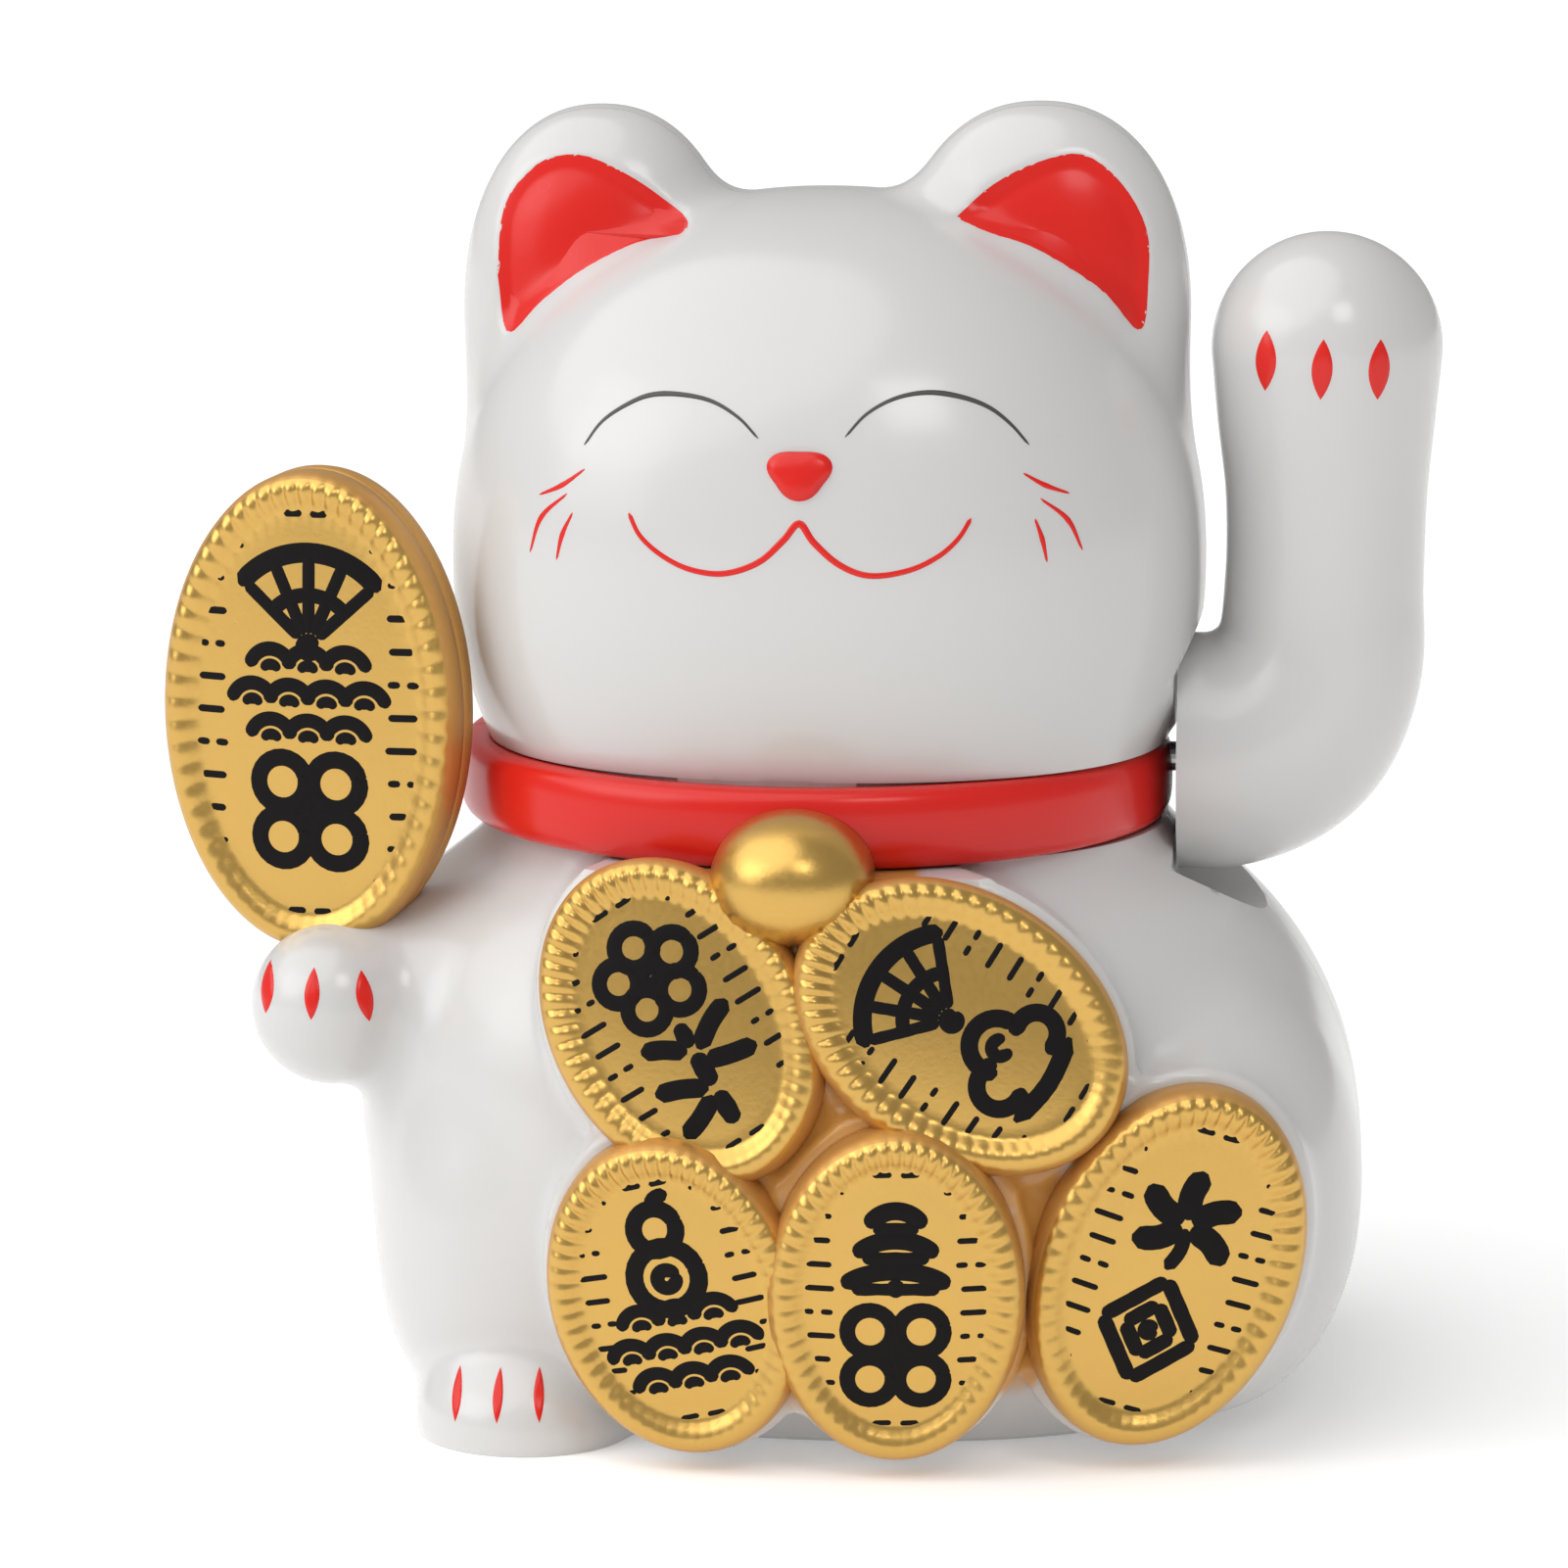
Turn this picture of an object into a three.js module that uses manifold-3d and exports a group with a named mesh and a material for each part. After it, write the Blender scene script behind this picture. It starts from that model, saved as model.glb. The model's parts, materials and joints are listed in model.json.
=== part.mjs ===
// Beckoning cat figurine with a battery driven waving arm. Millimetres, +Z up, the cat faces -Y.
import * as THREE from "three";
import { mergeVertices } from "three/addons/utils/BufferGeometryUtils.js";
import Module from "manifold-3d";

const wasm = await Module();
wasm.setup();

// ---- main dimensions ----
const WALL = 1.75;
const SEAM_GAP = 0.15;
const RAY_Z = 50;

const HEAD = { at: [0, 0, 71], r: [31.9, 27.5, 31.1], p: 2.22 };
const EAR_LEFT = { at: [-19.4, 1.5, 91.3], r: [11.8, 8.2, 17.6], p: 2.2 };
const EAR_RIGHT = { at: [17.7, 1.5, 91.7], r: [12.7, 8.2, 17.8], p: 2.2 };
const BODY = { y: 0.6, z: 22, x: 42.7, front: 34.6, back: 40, up: 32, down: 29.3, p: 2.3, shift: 3.2 };
const LEG = { at: [30.5, -11, 19.8], r: [15.4, 21, 19.7], p: 2.2 };
const HIP = { at: [-21.9, -12, 14.5], r: [15.3, 17, 17.5], p: 2.3 };
const FOOT = { at: [-23.6, -22.8, 1.6], r: [9.3, 9.6, 7] };
const PAW = [[-27, -4, 35.5, 10], [-32, -8.5, 35, 8.8], [-37.2, -13, 34.8, 7.5], [-40.6, -16.4, 34.8, 6.8]];

const COLLAR_Z = 52.5;
const COLLAR_H = 6.7;
const COLLAR_X = -1.1;
const NECK = [26.4, 24.6];
const COLLAR_T = 4;
const BELL_R = 6.7;
const BELL_RZ = 5.5;
const BELL_AT = [-0.6, -30.6, 49];

const AXLE_Z = 54;
const AXLE_R = 1.25;
const ARM_X = 29.9;
const ARM_WALL = 1.6;
const POCKET_X = 29.6;
const POCKET_R = 12.8;

const COIN_T = 4.2;
const FLUTES = 56;
// [name, x, y, z, tilt, yaw, pitch, half width, half height]
const COINS = [
  ["belly_coin_upper_left", -9.2, -31.2, 37.1, 33, -6, 10, 10.9, 14.3],
  ["belly_coin_upper_right", 13.2, -31.6, 37.3, 56, 8, 10, 10.9, 14.8],
  ["belly_coin_lower_left", -9.4, -33.4, 15.2, 13, -6, -5, 10.7, 13.6],
  ["belly_coin_lower_middle", 8.3, -34.3, 15.9, 0, 4, -5, 10.6, 14.2],
  ["belly_coin_lower_right", 29.9, -29.2, 17.4, -19, 12, -3, 11.1, 15.6],
].map(([name, x, y, z, tilt, yaw, pitch, hw, hh]) => ({ name, x, y, z, tilt, yaw, pitch, hw, hh }));
const HELD = { x: -42, y: -13, z: 59.4, hw: 13, hh: 20.4, half: 3.6, yaw: -11, flutes: 64 };

const PLATE_T = 2.2;
const CELL = { x: 4.2, y: 11.3, z: 7.6, r: 5.25, len: 44.5 };
const SWING_X = 16.5;
const COIL = { x: 16.5, y: -0.5 };
const BOARD = { x0: -12, x1: 24, y0: -12.2, y1: 4.3, z: 6.5, t: 1.2 };

// ---- colours ----
const WHITE = [0xeeeae6, 0.22, 0];
const RED = [0xd8281e, 0.25, 0];
const GOLD = [0xcfa044, 0.35, 0.6];
const STEEL = [0xb9bcc0, 0.3, 1];
const BLACK = [0x1c1c1e, 0.5, 0];

// ---- solid helpers ----
function solid(geometry) {
  const g = geometry.clone();
  g.deleteAttribute("normal");
  g.deleteAttribute("uv");
  const m = mergeVertices(g, 1e-4);
  const index = m.index.array;
  const mesh = new wasm.Mesh({
    numProp: 3,
    vertProperties: new Float32Array(m.attributes.position.array),
    triVerts: new Uint32Array(index),
  });
  return new wasm.Manifold(mesh);
}

function place(geometry, at, turn = [0, 0, 0]) {
  const m = new THREE.Matrix4();
  const q = new THREE.Quaternion().setFromEuler(new THREE.Euler(turn[0], turn[1], turn[2]));
  m.compose(new THREE.Vector3(at[0], at[1], at[2]), q, new THREE.Vector3(1, 1, 1));
  return geometry.clone().applyMatrix4(m);
}

function box(x0, x1, y0, y1, z0, z1) {
  const g = new THREE.BoxGeometry(x1 - x0, y1 - y0, z1 - z0);
  return solid(place(g, [(x0 + x1) / 2, (y0 + y1) / 2, (z0 + z1) / 2]));
}

// upright round bar
function bar(x, y, r, z0, z1, n = 16) {
  const g = new THREE.CylinderGeometry(r, r, z1 - z0, n);
  return solid(place(g, [x, y, (z0 + z1) / 2], [Math.PI / 2, 0, 0]));
}

// round bar along X
function barX(y, z, r, x0, x1, n = 20) {
  const g = new THREE.CylinderGeometry(r, r, x1 - x0, n);
  return solid(place(g, [(x0 + x1) / 2, y, z], [0, 0, Math.PI / 2]));
}

// closed skin through rings of equal point count, fanned to a centre point at both ends
function loft(rings) {
  const n = rings[0].length;
  const pos = [];
  for (const ring of rings) {
    for (const p of ring) pos.push(p[0], p[1], p[2]);
  }
  const middle = (ring) => {
    const c = [0, 0, 0];
    for (const p of ring) {
      for (let k = 0; k < 3; k += 1) c[k] += p[k] / n;
    }
    return c;
  };
  pos.push(...middle(rings[0]), ...middle(rings[rings.length - 1]));
  const first = rings.length * n;
  const idx = [];
  for (let i = 0; i + 1 < rings.length; i += 1) {
    for (let j = 0; j < n; j += 1) {
      const a = i * n + j;
      const b = i * n + ((j + 1) % n);
      idx.push(a, b, b + n, a, b + n, a + n);
    }
  }
  const last = (rings.length - 1) * n;
  for (let j = 0; j < n; j += 1) {
    const k = (j + 1) % n;
    idx.push(first, k, j, first + 1, last + j, last + k);
  }
  const g = new THREE.BufferGeometry();
  g.setAttribute("position", new THREE.Float32BufferAttribute(pos, 3));
  g.setIndex(idx);
  return g;
}

// round bar of changing radius along a smooth path lying in a plane; stops are [x, y, z, radius]
function sweep(stops, sides, steps, side = new THREE.Vector3(0, 1, 0)) {
  const path = new THREE.CatmullRomCurve3(stops.map((s) => new THREE.Vector3(s[0], s[1], s[2])));
  const rings = [];
  for (let i = 0; i <= steps; i += 1) {
    const u = i / steps;
    const c = path.getPoint(u);
    const t = path.getTangent(u);
    const v = new THREE.Vector3().crossVectors(t, side).normalize();
    const w = new THREE.Vector3().crossVectors(t, v).normalize();
    const s = u * (stops.length - 1);
    const k = Math.min(Math.floor(s), stops.length - 2);
    const f = (s - k) * (s - k) * (3 - 2 * (s - k));
    const r = stops[k][3] * (1 - f) + stops[k + 1][3] * f;
    const ring = [];
    for (let j = 0; j < sides; j += 1) {
      const a = (j / sides) * Math.PI * 2;
      const p = c.clone().addScaledVector(v, r * Math.cos(a)).addScaledVector(w, r * Math.sin(a));
      ring.push([p.x, p.y, p.z]);
    }
    rings.push(ring);
  }
  return solid(loft(rings));
}

function ball(x, y, z, r, n = 28) {
  return solid(place(new THREE.SphereGeometry(r, n, Math.round(n * 0.6)), [x, y, z], [Math.PI / 2, 0, 0]));
}

const all = (list) => list.reduce((a, b) => a.add(b));

// ---- the cat's skin as one smooth field, negative inside ----
function egg(p, c, r, e) {
  const d = [p[0] - c[0], p[1] - c[1], p[2] - c[2]];
  const q = [0, 1, 2].map((k) => Math.abs(d[k] / r[k]) ** e);
  const s = (q[0] + q[1] + q[2]) ** (1 / e);
  return Math.hypot(d[0], d[1], d[2]) * (1 - 1 / Math.max(s, 1e-6));
}

function blend(a, b, k) {
  const h = Math.max(k - Math.abs(a - b), 0) / k;
  return Math.min(a, b) - h * h * k * 0.25;
}

function field(p) {
  const lean = Math.min(1, Math.max(0, (52 - p[2]) / 34));
  const c = [BODY.shift * lean, BODY.y, BODY.z];
  const half = [BODY.x, p[1] > BODY.y ? BODY.back : BODY.front, p[2] > BODY.z ? BODY.up : BODY.down];
  const form = (e) => egg(p, e.at, e.r, e.p);
  const top = blend(form(HEAD), Math.min(form(EAR_LEFT), form(EAR_RIGHT)), 3.5);
  const low = blend(blend(egg(p, c, half, BODY.p), form(LEG), 1.6), form(HIP), 3);
  return blend(top, low, 9);
}

// outermost point of the skin along a ray, moved in by `inset`
function reach(origin, dir, inset) {
  let r = 100;
  const at = (t) => field([origin[0] + dir[0] * t, origin[1] + dir[1] * t, origin[2] + dir[2] * t]) + inset;
  while (r > 1 && at(r) > 0) r -= 1.5;
  let lo = r;
  let hi = r + 1.5;
  for (let i = 0; i < 22; i += 1) {
    const mid = (lo + hi) / 2;
    if (at(mid) > 0) hi = mid;
    else lo = mid;
  }
  return (lo + hi) / 2;
}

function skin(inset, around, up) {
  const g = new THREE.SphereGeometry(1, around, up);
  g.rotateX(Math.PI / 2);
  g.deleteAttribute("normal");
  g.deleteAttribute("uv");
  const m = mergeVertices(g, 1e-5);
  const pos = m.attributes.position;
  for (let i = 0; i < pos.count; i += 1) {
    const d = new THREE.Vector3().fromBufferAttribute(pos, i).normalize();
    const r = reach([0, 0, RAY_Z], [d.x, d.y, d.z], inset);
    pos.setXYZ(i, d.x * r, d.y * r, RAY_Z + d.z * r);
  }
  return solid(m);
}

// ring outside an ellipse, for the neck groove and the collar
function ellipseBar(x, a, b, z0, z1, n = 40, soft = 0) {
  const rows = soft > 0
    ? [[z0, -soft], [z0 + soft, 0], [z1 - soft, 0], [z1, -soft]]
    : [[z0, 0], [z1, 0]];
  const rings = rows.map(([z, d]) => {
    const ring = [];
    for (let j = 0; j < n; j += 1) {
      const t = (j / n) * Math.PI * 2;
      ring.push([x + (a + d) * Math.cos(t), (b + d) * Math.sin(t), z]);
    }
    return ring;
  });
  return solid(loft(rings));
}

// ---- oval fluted coin, face towards -Y before it is turned ----
function coinRings(hw, hh, t, flutes) {
  const ring = (scale, depth, wave) => {
    const out = [];
    for (let j = 0; j < flutes * 2; j += 1) {
      const a = (j / (flutes * 2)) * Math.PI * 2;
      const bump = j % 2 === 0 ? wave : 0;
      const p = [(hw - scale + bump) * Math.sign(Math.cos(a)) * Math.abs(Math.cos(a)) ** 0.94];
      p.push(-depth, (hh - scale + bump) * Math.sin(a));
      out.push(p);
    }
    return out;
  };
  return [ring(0, 0, 0), ring(0, t * 0.55, 0), ring(1.7, t, 0.45)];
}

const RAD = Math.PI / 180;

function coinMatrix(c) {
  const m = new THREE.Matrix4().makeTranslation(c.x, c.y, c.z);
  m.multiply(new THREE.Matrix4().makeRotationZ(c.yaw * RAD));
  m.multiply(new THREE.Matrix4().makeRotationX(-c.pitch * RAD));
  m.multiply(new THREE.Matrix4().makeRotationY(-c.tilt * RAD));
  return m;
}

function prism(c, grow, from, to) {
  const rings = [to, -from].map((y) => {
    const ring = [];
    for (let j = 0; j < 32; j += 1) {
      const a = (j / 32) * Math.PI * 2;
      ring.push([(c.hw + grow) * Math.cos(a), y, (c.hh + grow) * Math.sin(a)]);
    }
    return ring;
  });
  return solid(loft([rings[0], rings[1]]).applyMatrix4(coinMatrix(c)));
}

const group = new THREE.Group();
group.name = "beckoning_cat";

function piece(name, body, [color, roughness, metalness]) {
  const mesh = body.getMesh();
  const g = new THREE.BufferGeometry();
  g.setAttribute("position", new THREE.BufferAttribute(new Float32Array(mesh.vertProperties), 3));
  g.setIndex(new THREE.BufferAttribute(new Uint32Array(mesh.triVerts), 1));
  const flat = g.toNonIndexed();
  flat.computeVertexNormals();
  const m = new THREE.Mesh(flat, new THREE.MeshStandardMaterial({ color, roughness, metalness }));
  m.name = name;
  group.add(m);
  return body;
}

const FRONT = box(-90, 90, -90, -SEAM_GAP, -5, 130);
const REAR = box(-90, 90, SEAM_GAP, 90, -5, 130);
const ABOVE = box(-90, 90, -90, 90, 0, 130);

// ---- body shells ----
const outerSkin = skin(0, 48, 34);
const innerSkin = skin(WALL, 32, 22);
const cavity = skin(WALL + 0.45, 32, 22);

const neckCut = (grow) => {
  const h = COLLAR_H / 2 + 0.2 + grow;
  const wide = box(-60, 60, -60, 60, COLLAR_Z - h, COLLAR_Z + h);
  const core = ellipseBar(COLLAR_X, NECK[0] - grow, NECK[1] - grow, COLLAR_Z - h - 1, COLLAR_Z + h + 1);
  return wide.subtract(core);
};
const pocket = barX(0, AXLE_Z, POCKET_R, POCKET_X, 70, 28);
const pocketWall = barX(0, AXLE_Z, POCKET_R + WALL, POCKET_X - WALL, 70, 28);

// raised paw and foot that grow out of the body
const side = new THREE.Vector3(0.7, -0.6, 1).normalize();
const pawEnd = PAW[PAW.length - 1];
const limb = (inset, stops, n) => sweep(stops.map(([x, y, z, r]) => [x, y, z, r - inset]), n, 6, side);
const paw = ball(pawEnd[0], pawEnd[1], pawEnd[2], pawEnd[3], 16);
const foot = (inset) => {
  const g = new THREE.SphereGeometry(1, 20, 14).rotateX(Math.PI / 2);
  g.scale(FOOT.r[0] - inset, FOOT.r[1] - inset, FOOT.r[2] - inset);
  return solid(place(g, FOOT.at));
};

let outer = outerSkin.add(limb(0, PAW, 16)).add(paw).add(foot(0)).subtract(neckCut(0)).subtract(pocket);
const inner = innerSkin.add(limb(WALL, PAW.slice(0, 2), 12)).subtract(neckCut(WALL)).subtract(pocketWall);

// white ledges the coins sit on
for (const c of COINS) {
  const pad = prism(c, 0.9, 0.0, 12).intersect(ABOVE);
  outer = outer.add(pad);
}
// seat for the bell
const bellForm = (grow, n) => ball(0, 0, 0, 1, n)
  .scale([BELL_R + grow, BELL_R + grow, BELL_RZ + grow])
  .translate(BELL_AT);
const bellSeat = bellForm(0.25, 18);
const bandLow = COLLAR_Z - COLLAR_H / 2;
const bandHigh = COLLAR_Z + COLLAR_H / 2;
const bandOut = [NECK[0] + COLLAR_T, NECK[1] + COLLAR_T];
const bandSpace = ellipseBar(COLLAR_X, bandOut[0] + 0.5, bandOut[1] + 0.5, bandLow - 0.15, bandHigh + 0.15)
  .subtract(ellipseBar(COLLAR_X, NECK[0], NECK[1], 30, 80, 40));
outer = outer.intersect(ABOVE).subtract(bandSpace);

const axleHole = barX(0, AXLE_Z, 2.2, 15, 34, 24);
let shell = outer.subtract(inner).subtract(axleHole).subtract(bellSeat);

// coin solids, each trimmed where a coin in front of it lies
const coinBodies = COINS.map((c) => {
  return solid(loft(coinRings(c.hw, c.hh, COIN_T, FLUTES)).applyMatrix4(coinMatrix(c)));
});
const inFront = { 0: [1, 2, 3], 1: [3, 4], 2: [3], 3: [4], 4: [] };
const coinSolids = coinBodies.map((body, i) => {
  let b = body.intersect(ABOVE);
  for (const k of inFront[i]) b = b.subtract(prism(COINS[k], 0.3, 9, 9));
  return b.subtract(bellSeat).subtract(bandSpace);
});
// the shell keeps clear of the coins
for (const c of COINS) shell = shell.subtract(prism(c, 0.3, 9, 0.06).intersect(ABOVE));

// screw bosses with ribs to the wall
const BASE_SCREWS = [
  { x: -16.2, y: -15.2, to: -29, side: "front" },
  { x: 18.6, y: -14.9, to: -29, side: "front" },
  { x: 3.2, y: 21.9, to: 36, side: "rear" },
];
function boss(s) {
  const post = bar(s.x, s.y, 2.5, PLATE_T + 0.2, 15);
  const rib = box(s.x - 0.8, s.x + 0.8, Math.min(s.y, s.to), Math.max(s.y, s.to), PLATE_T + 0.2, 15);
  const body = post.add(rib).intersect(outerSkin.intersect(ABOVE));
  return body.subtract(bar(s.x, s.y, 1.05, 0, 12.5, 16));
}
const bosses = (side) => all(BASE_SCREWS.filter((s) => s.side === side).map(boss));

// rest for the paw coin: a peg on top of the paw
const pegAt = [HELD.x + 1, HELD.y - 1.2];
const peg = bar(pegAt[0], pegAt[1], 1.6, HELD.z - HELD.hh - 6, HELD.z - HELD.hh + 3);

let front = shell.intersect(FRONT).add(bosses("front"));
let rear = shell.intersect(REAR).add(bosses("rear"));

// ---- held coin, two halves ----
const heldHalf = (sign, t) => {
  const g = loft(coinRings(HELD.hw, HELD.hh, t, HELD.flutes));
  if (sign > 0) g.rotateZ(Math.PI);
  g.translate(0, sign * 0.08, 0);
  return solid(place(g, [HELD.x, HELD.y, HELD.z], [0, 0, HELD.yaw * RAD]));
};
const pegHole = bar(pegAt[0], pegAt[1], 1.7, HELD.z - HELD.hh - 7, HELD.z - HELD.hh + 3.1);
const heldFront = heldHalf(-1, HELD.half).subtract(pegHole);
const heldRear = heldHalf(1, HELD.half).subtract(pegHole);
const heldClear = ellipseBar(0, HELD.hw + 0.3, HELD.hh + 0.3, -HELD.half - 0.3, HELD.half + 0.3, 56)
  .rotate([90, 0, 0]).rotate([0, 0, HELD.yaw]).translate([HELD.x, HELD.y, HELD.z]);
front = front.subtract(heldClear).add(peg);

piece("front_shell", front, WHITE);
piece("rear_shell", rear, WHITE);

// ---- collar and bell ----
const band = ellipseBar(COLLAR_X, bandOut[0], bandOut[1], bandLow, bandHigh, 48, 1)
  .subtract(ellipseBar(COLLAR_X, NECK[0] + 0.15, NECK[1] + 0.15, 30, 80, 40))
  .subtract(barX(0, AXLE_Z, 3.1, 15, 34, 14));
piece("collar_front", band.intersect(FRONT).subtract(bellSeat), RED);
piece("collar_rear", band.intersect(REAR), RED);
piece("bell", bellForm(0, 24).subtract(box(-20, 20, -27.4, 20, 30, 70)), GOLD);

COINS.forEach((c, i) => piece(c.name, coinSolids[i], GOLD));
piece("held_coin_front", heldFront, GOLD);
piece("held_coin_rear", heldRear, GOLD);

// ---- waving arm ----
const ARM = [
  [ARM_X - 1.5, 0, 54.6, 10], [34, 0, 54.8, 10], [38.6, 0, 57.2, 9.7], [41.4, 0, 62.2, 8.9],
  [41.9, 0, 69, 8.4], [42, 0, 77, 8.5], [41.9, 0, 84, 9.2], [41.9, 0, 89.2, 9.7],
];
const armOuter = sweep(ARM, 20, 16).add(ball(41.9, 0, 89.2, 9.7, 20));
const armIn = ARM.map(([x, y, z, r]) => [x, y, z, r - ARM_WALL]);
const armInner = sweep(armIn, 14, 10).add(ball(41.9, 0, 89.2, 9.7 - ARM_WALL, 14));
const hub = barX(0, AXLE_Z, 3.6, ARM_X, 39, 18);
const armBody = armOuter
  .subtract(armInner.subtract(box(0, ARM_X + ARM_WALL, -30, 30, 30, 80)))
  .add(hub)
  .subtract(box(0, ARM_X, -30, 30, 30, 80))
  .subtract(barX(0, AXLE_Z, AXLE_R + 0.06, 20, 38.6, 16));
piece("arm_front_half", armBody.intersect(FRONT), WHITE);
piece("arm_rear_half", armBody.intersect(REAR), WHITE);

// ---- axle, pivot frame, pendulum ----
piece("arm_axle", barX(0, AXLE_Z, AXLE_R, 7, 38.4, 20), STEEL);
const BEARINGS = [10, 22];
const armsOfFrame = BEARINGS.map((x) => box(x - 1.1, x + 1.1, -3.4, 9, AXLE_Z - 4.6, AXLE_Z + 4.6)
  .add(barX(0, AXLE_Z, 3.6, x - 1.4, x + 1.4)));
const frameBody = all(armsOfFrame)
  .add(box(BEARINGS[0] - 1.1, BEARINGS[1] + 1.1, 8, 10, AXLE_Z - 4.6, AXLE_Z + 4.6))
  .add(box(BEARINGS[0] - 1.1, BEARINGS[0] + 1.1, 9, 30, AXLE_Z - 3, AXLE_Z + 3))
  .add(box(18, 20.2, 9, 30, AXLE_Z - 3, AXLE_Z + 3))
  .intersect(cavity.subtract(neckCut(WALL + 0.1)))
  .subtract(barX(0, AXLE_Z, AXLE_R + 0.08, 0, 30, 20));
piece("pivot_frame", frameBody, BLACK);
const clip = barX(0, AXLE_Z, 2.6, 7.3, 8.1, 24).subtract(barX(0, AXLE_Z, AXLE_R + 0.03, 6, 9, 24))
  .subtract(box(6, 9, -0.7, 0.7, AXLE_Z, AXLE_Z + 4));
piece("axle_clip", clip, STEEL);
const lever = barX(0, AXLE_Z, 3.4, SWING_X - 2, SWING_X + 2)
  .add(box(SWING_X - 1.5, SWING_X + 1.5, -2, 2, 20.2, AXLE_Z - 1))
  .add(bar(SWING_X, 0, 4.6, 20.1, 21.2, 28))
  .subtract(barX(0, AXLE_Z, AXLE_R + 0.04, 0, 30, 16));
piece("pendulum_lever", lever, [0xd9d4c4, 0.5, 0]);
piece("pendulum_magnet", bar(SWING_X, 0, 4.2, 16, 20, 28), STEEL);
const weight = box(SWING_X - 4.5, SWING_X + 4.5, -5, 5, 23, 35)
  .subtract(box(SWING_X - 1.56, SWING_X + 1.56, -2.06, 2.06, 20, 40));
piece("counterweight", weight, STEEL);

// ---- base plate with battery box ----
const CELL_X0 = CELL.x - CELL.len / 2;
const CELL_X1 = CELL.x + CELL.len / 2;
const WELL = { x0: CELL_X0 - 3.6, x1: CELL_X1 + 1.1, y0: CELL.y - 5.5, y1: CELL.y + 5.5 };
const DOOR = { x0: CELL_X0 - 2.4, x1: CELL_X1 + 0.6, y0: CELL.y - 4.7, y1: CELL.y + 4.7 };
const HINGE_Z = 1.05;
const SWITCH = { x: -19.5, y: -3 };
const POSTS = [[-9, -10.1], [16, -10.1]];
let base = box(-60, 60, -60, 60, 0, PLATE_T);
const tub = box(WELL.x0 - 1.2, WELL.x1 + 1.2, WELL.y0 - 1.1, WELL.y1 + 1.1, 0, 11.2)
  .subtract(box(WELL.x0, WELL.x1, WELL.y0, WELL.y1, -1, 20));
base = base.subtract(box(WELL.x0, WELL.x1, WELL.y0, WELL.y1, -1, 20)).add(tub);
// floor around the door opening
const floor = box(WELL.x0 - 0.2, WELL.x1 + 0.2, WELL.y0 - 0.2, WELL.y1 + 0.2, 0, PLATE_T)
  .subtract(box(DOOR.x0 - 0.25, DOOR.x1 + 0.35, DOOR.y0 - 0.2, DOOR.y1 + 0.2, -1, 9));
base = base.add(floor);
for (const [x, y] of POSTS) {
  base = base.add(bar(x, y, 2.3, 1, BOARD.z - 0.05)).subtract(bar(x, y, 0.85, PLATE_T, 9, 16));
}
for (const x of [-9, 8]) base = base.add(bar(x, 3.2, 1.5, 1, BOARD.z - 0.05, 16));
for (const s of BASE_SCREWS) {
  base = base.subtract(bar(s.x, s.y, 2.5, -1, 1.35)).subtract(bar(s.x, s.y, 1.2, -1, 5, 16));
}
base = base.subtract(box(SWITCH.x - 3.2, SWITCH.x + 3.2, SWITCH.y - 1.5, SWITCH.y + 1.5, -1, 5));
const cleared = cavity.subtract(all(BASE_SCREWS.map((s) => bar(s.x, s.y, 2.9, PLATE_T + 0.1, 40)
  .add(box(s.x - 1.1, s.x + 1.1, Math.min(s.y, s.to), Math.max(s.y, s.to), PLATE_T + 0.1, 40)))));
base = base.intersect(cleared);
piece("base_plate", base, WHITE);

const hingeX = DOOR.x1 - 0.85;
const hingePin = new THREE.CylinderGeometry(0.85, 0.85, DOOR.y1 - DOOR.y0, 20);
const door = box(DOOR.x0, hingeX, DOOR.y0, DOOR.y1, HINGE_Z - 0.85, HINGE_Z + 0.85)
  .add(solid(place(hingePin, [hingeX, CELL.y, HINGE_Z])));
const ridges = [-2, -0.7, 0.6].map((d) => {
  return box(DOOR.x0 + 4 + d, DOOR.x0 + 4.5 + d, CELL.y - 3, CELL.y + 3, 0, 0.5);
});
piece("battery_door", door.subtract(all(ridges)), WHITE);
const cellBody = barX(CELL.y, CELL.z, CELL.r, CELL_X0, CELL_X1 - 1, 28)
  .add(barX(CELL.y, CELL.z, 1.9, CELL_X1 - 1.2, CELL_X1, 24));
piece("battery_cell", cellBody, [0x3c6e8f, 0.35, 0.3]);
piece("positive_contact", box(CELL_X1 + 0.12, CELL_X1 + 0.6, CELL.y - 3.6, CELL.y + 3.6, 3.4, 12.4)
  .add(box(CELL_X1 + 0.12, CELL_X1 + 2.6, CELL.y - 1.5, CELL.y + 1.5, 11.9, 12.4)), STEEL);
const coilTurns = 3;
const springPath = [];
for (let i = 0; i <= 48; i += 1) {
  const a = (i / 48) * coilTurns * Math.PI * 2;
  const r = 3.6 - 1.2 * (i / 48);
  const x = CELL_X0 - 3.1 + 2.6 * (i / 48);
  springPath.push(new THREE.Vector3(x, CELL.y + r * Math.cos(a), CELL.z + r * Math.sin(a)));
}
const wire = (points, r, sides = 8, steps = 40) => {
  const path = new THREE.CatmullRomCurve3(points);
  const shape = new THREE.Shape().absarc(0, 0, r, 0, Math.PI * 2);
  const plan = { steps, extrudePath: path, curveSegments: sides, bevelEnabled: false };
  const g = new THREE.ExtrudeGeometry(shape, plan);
  return solid(g);
};
piece("negative_spring", wire(springPath, 0.3, 3, 36), STEEL);

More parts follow.
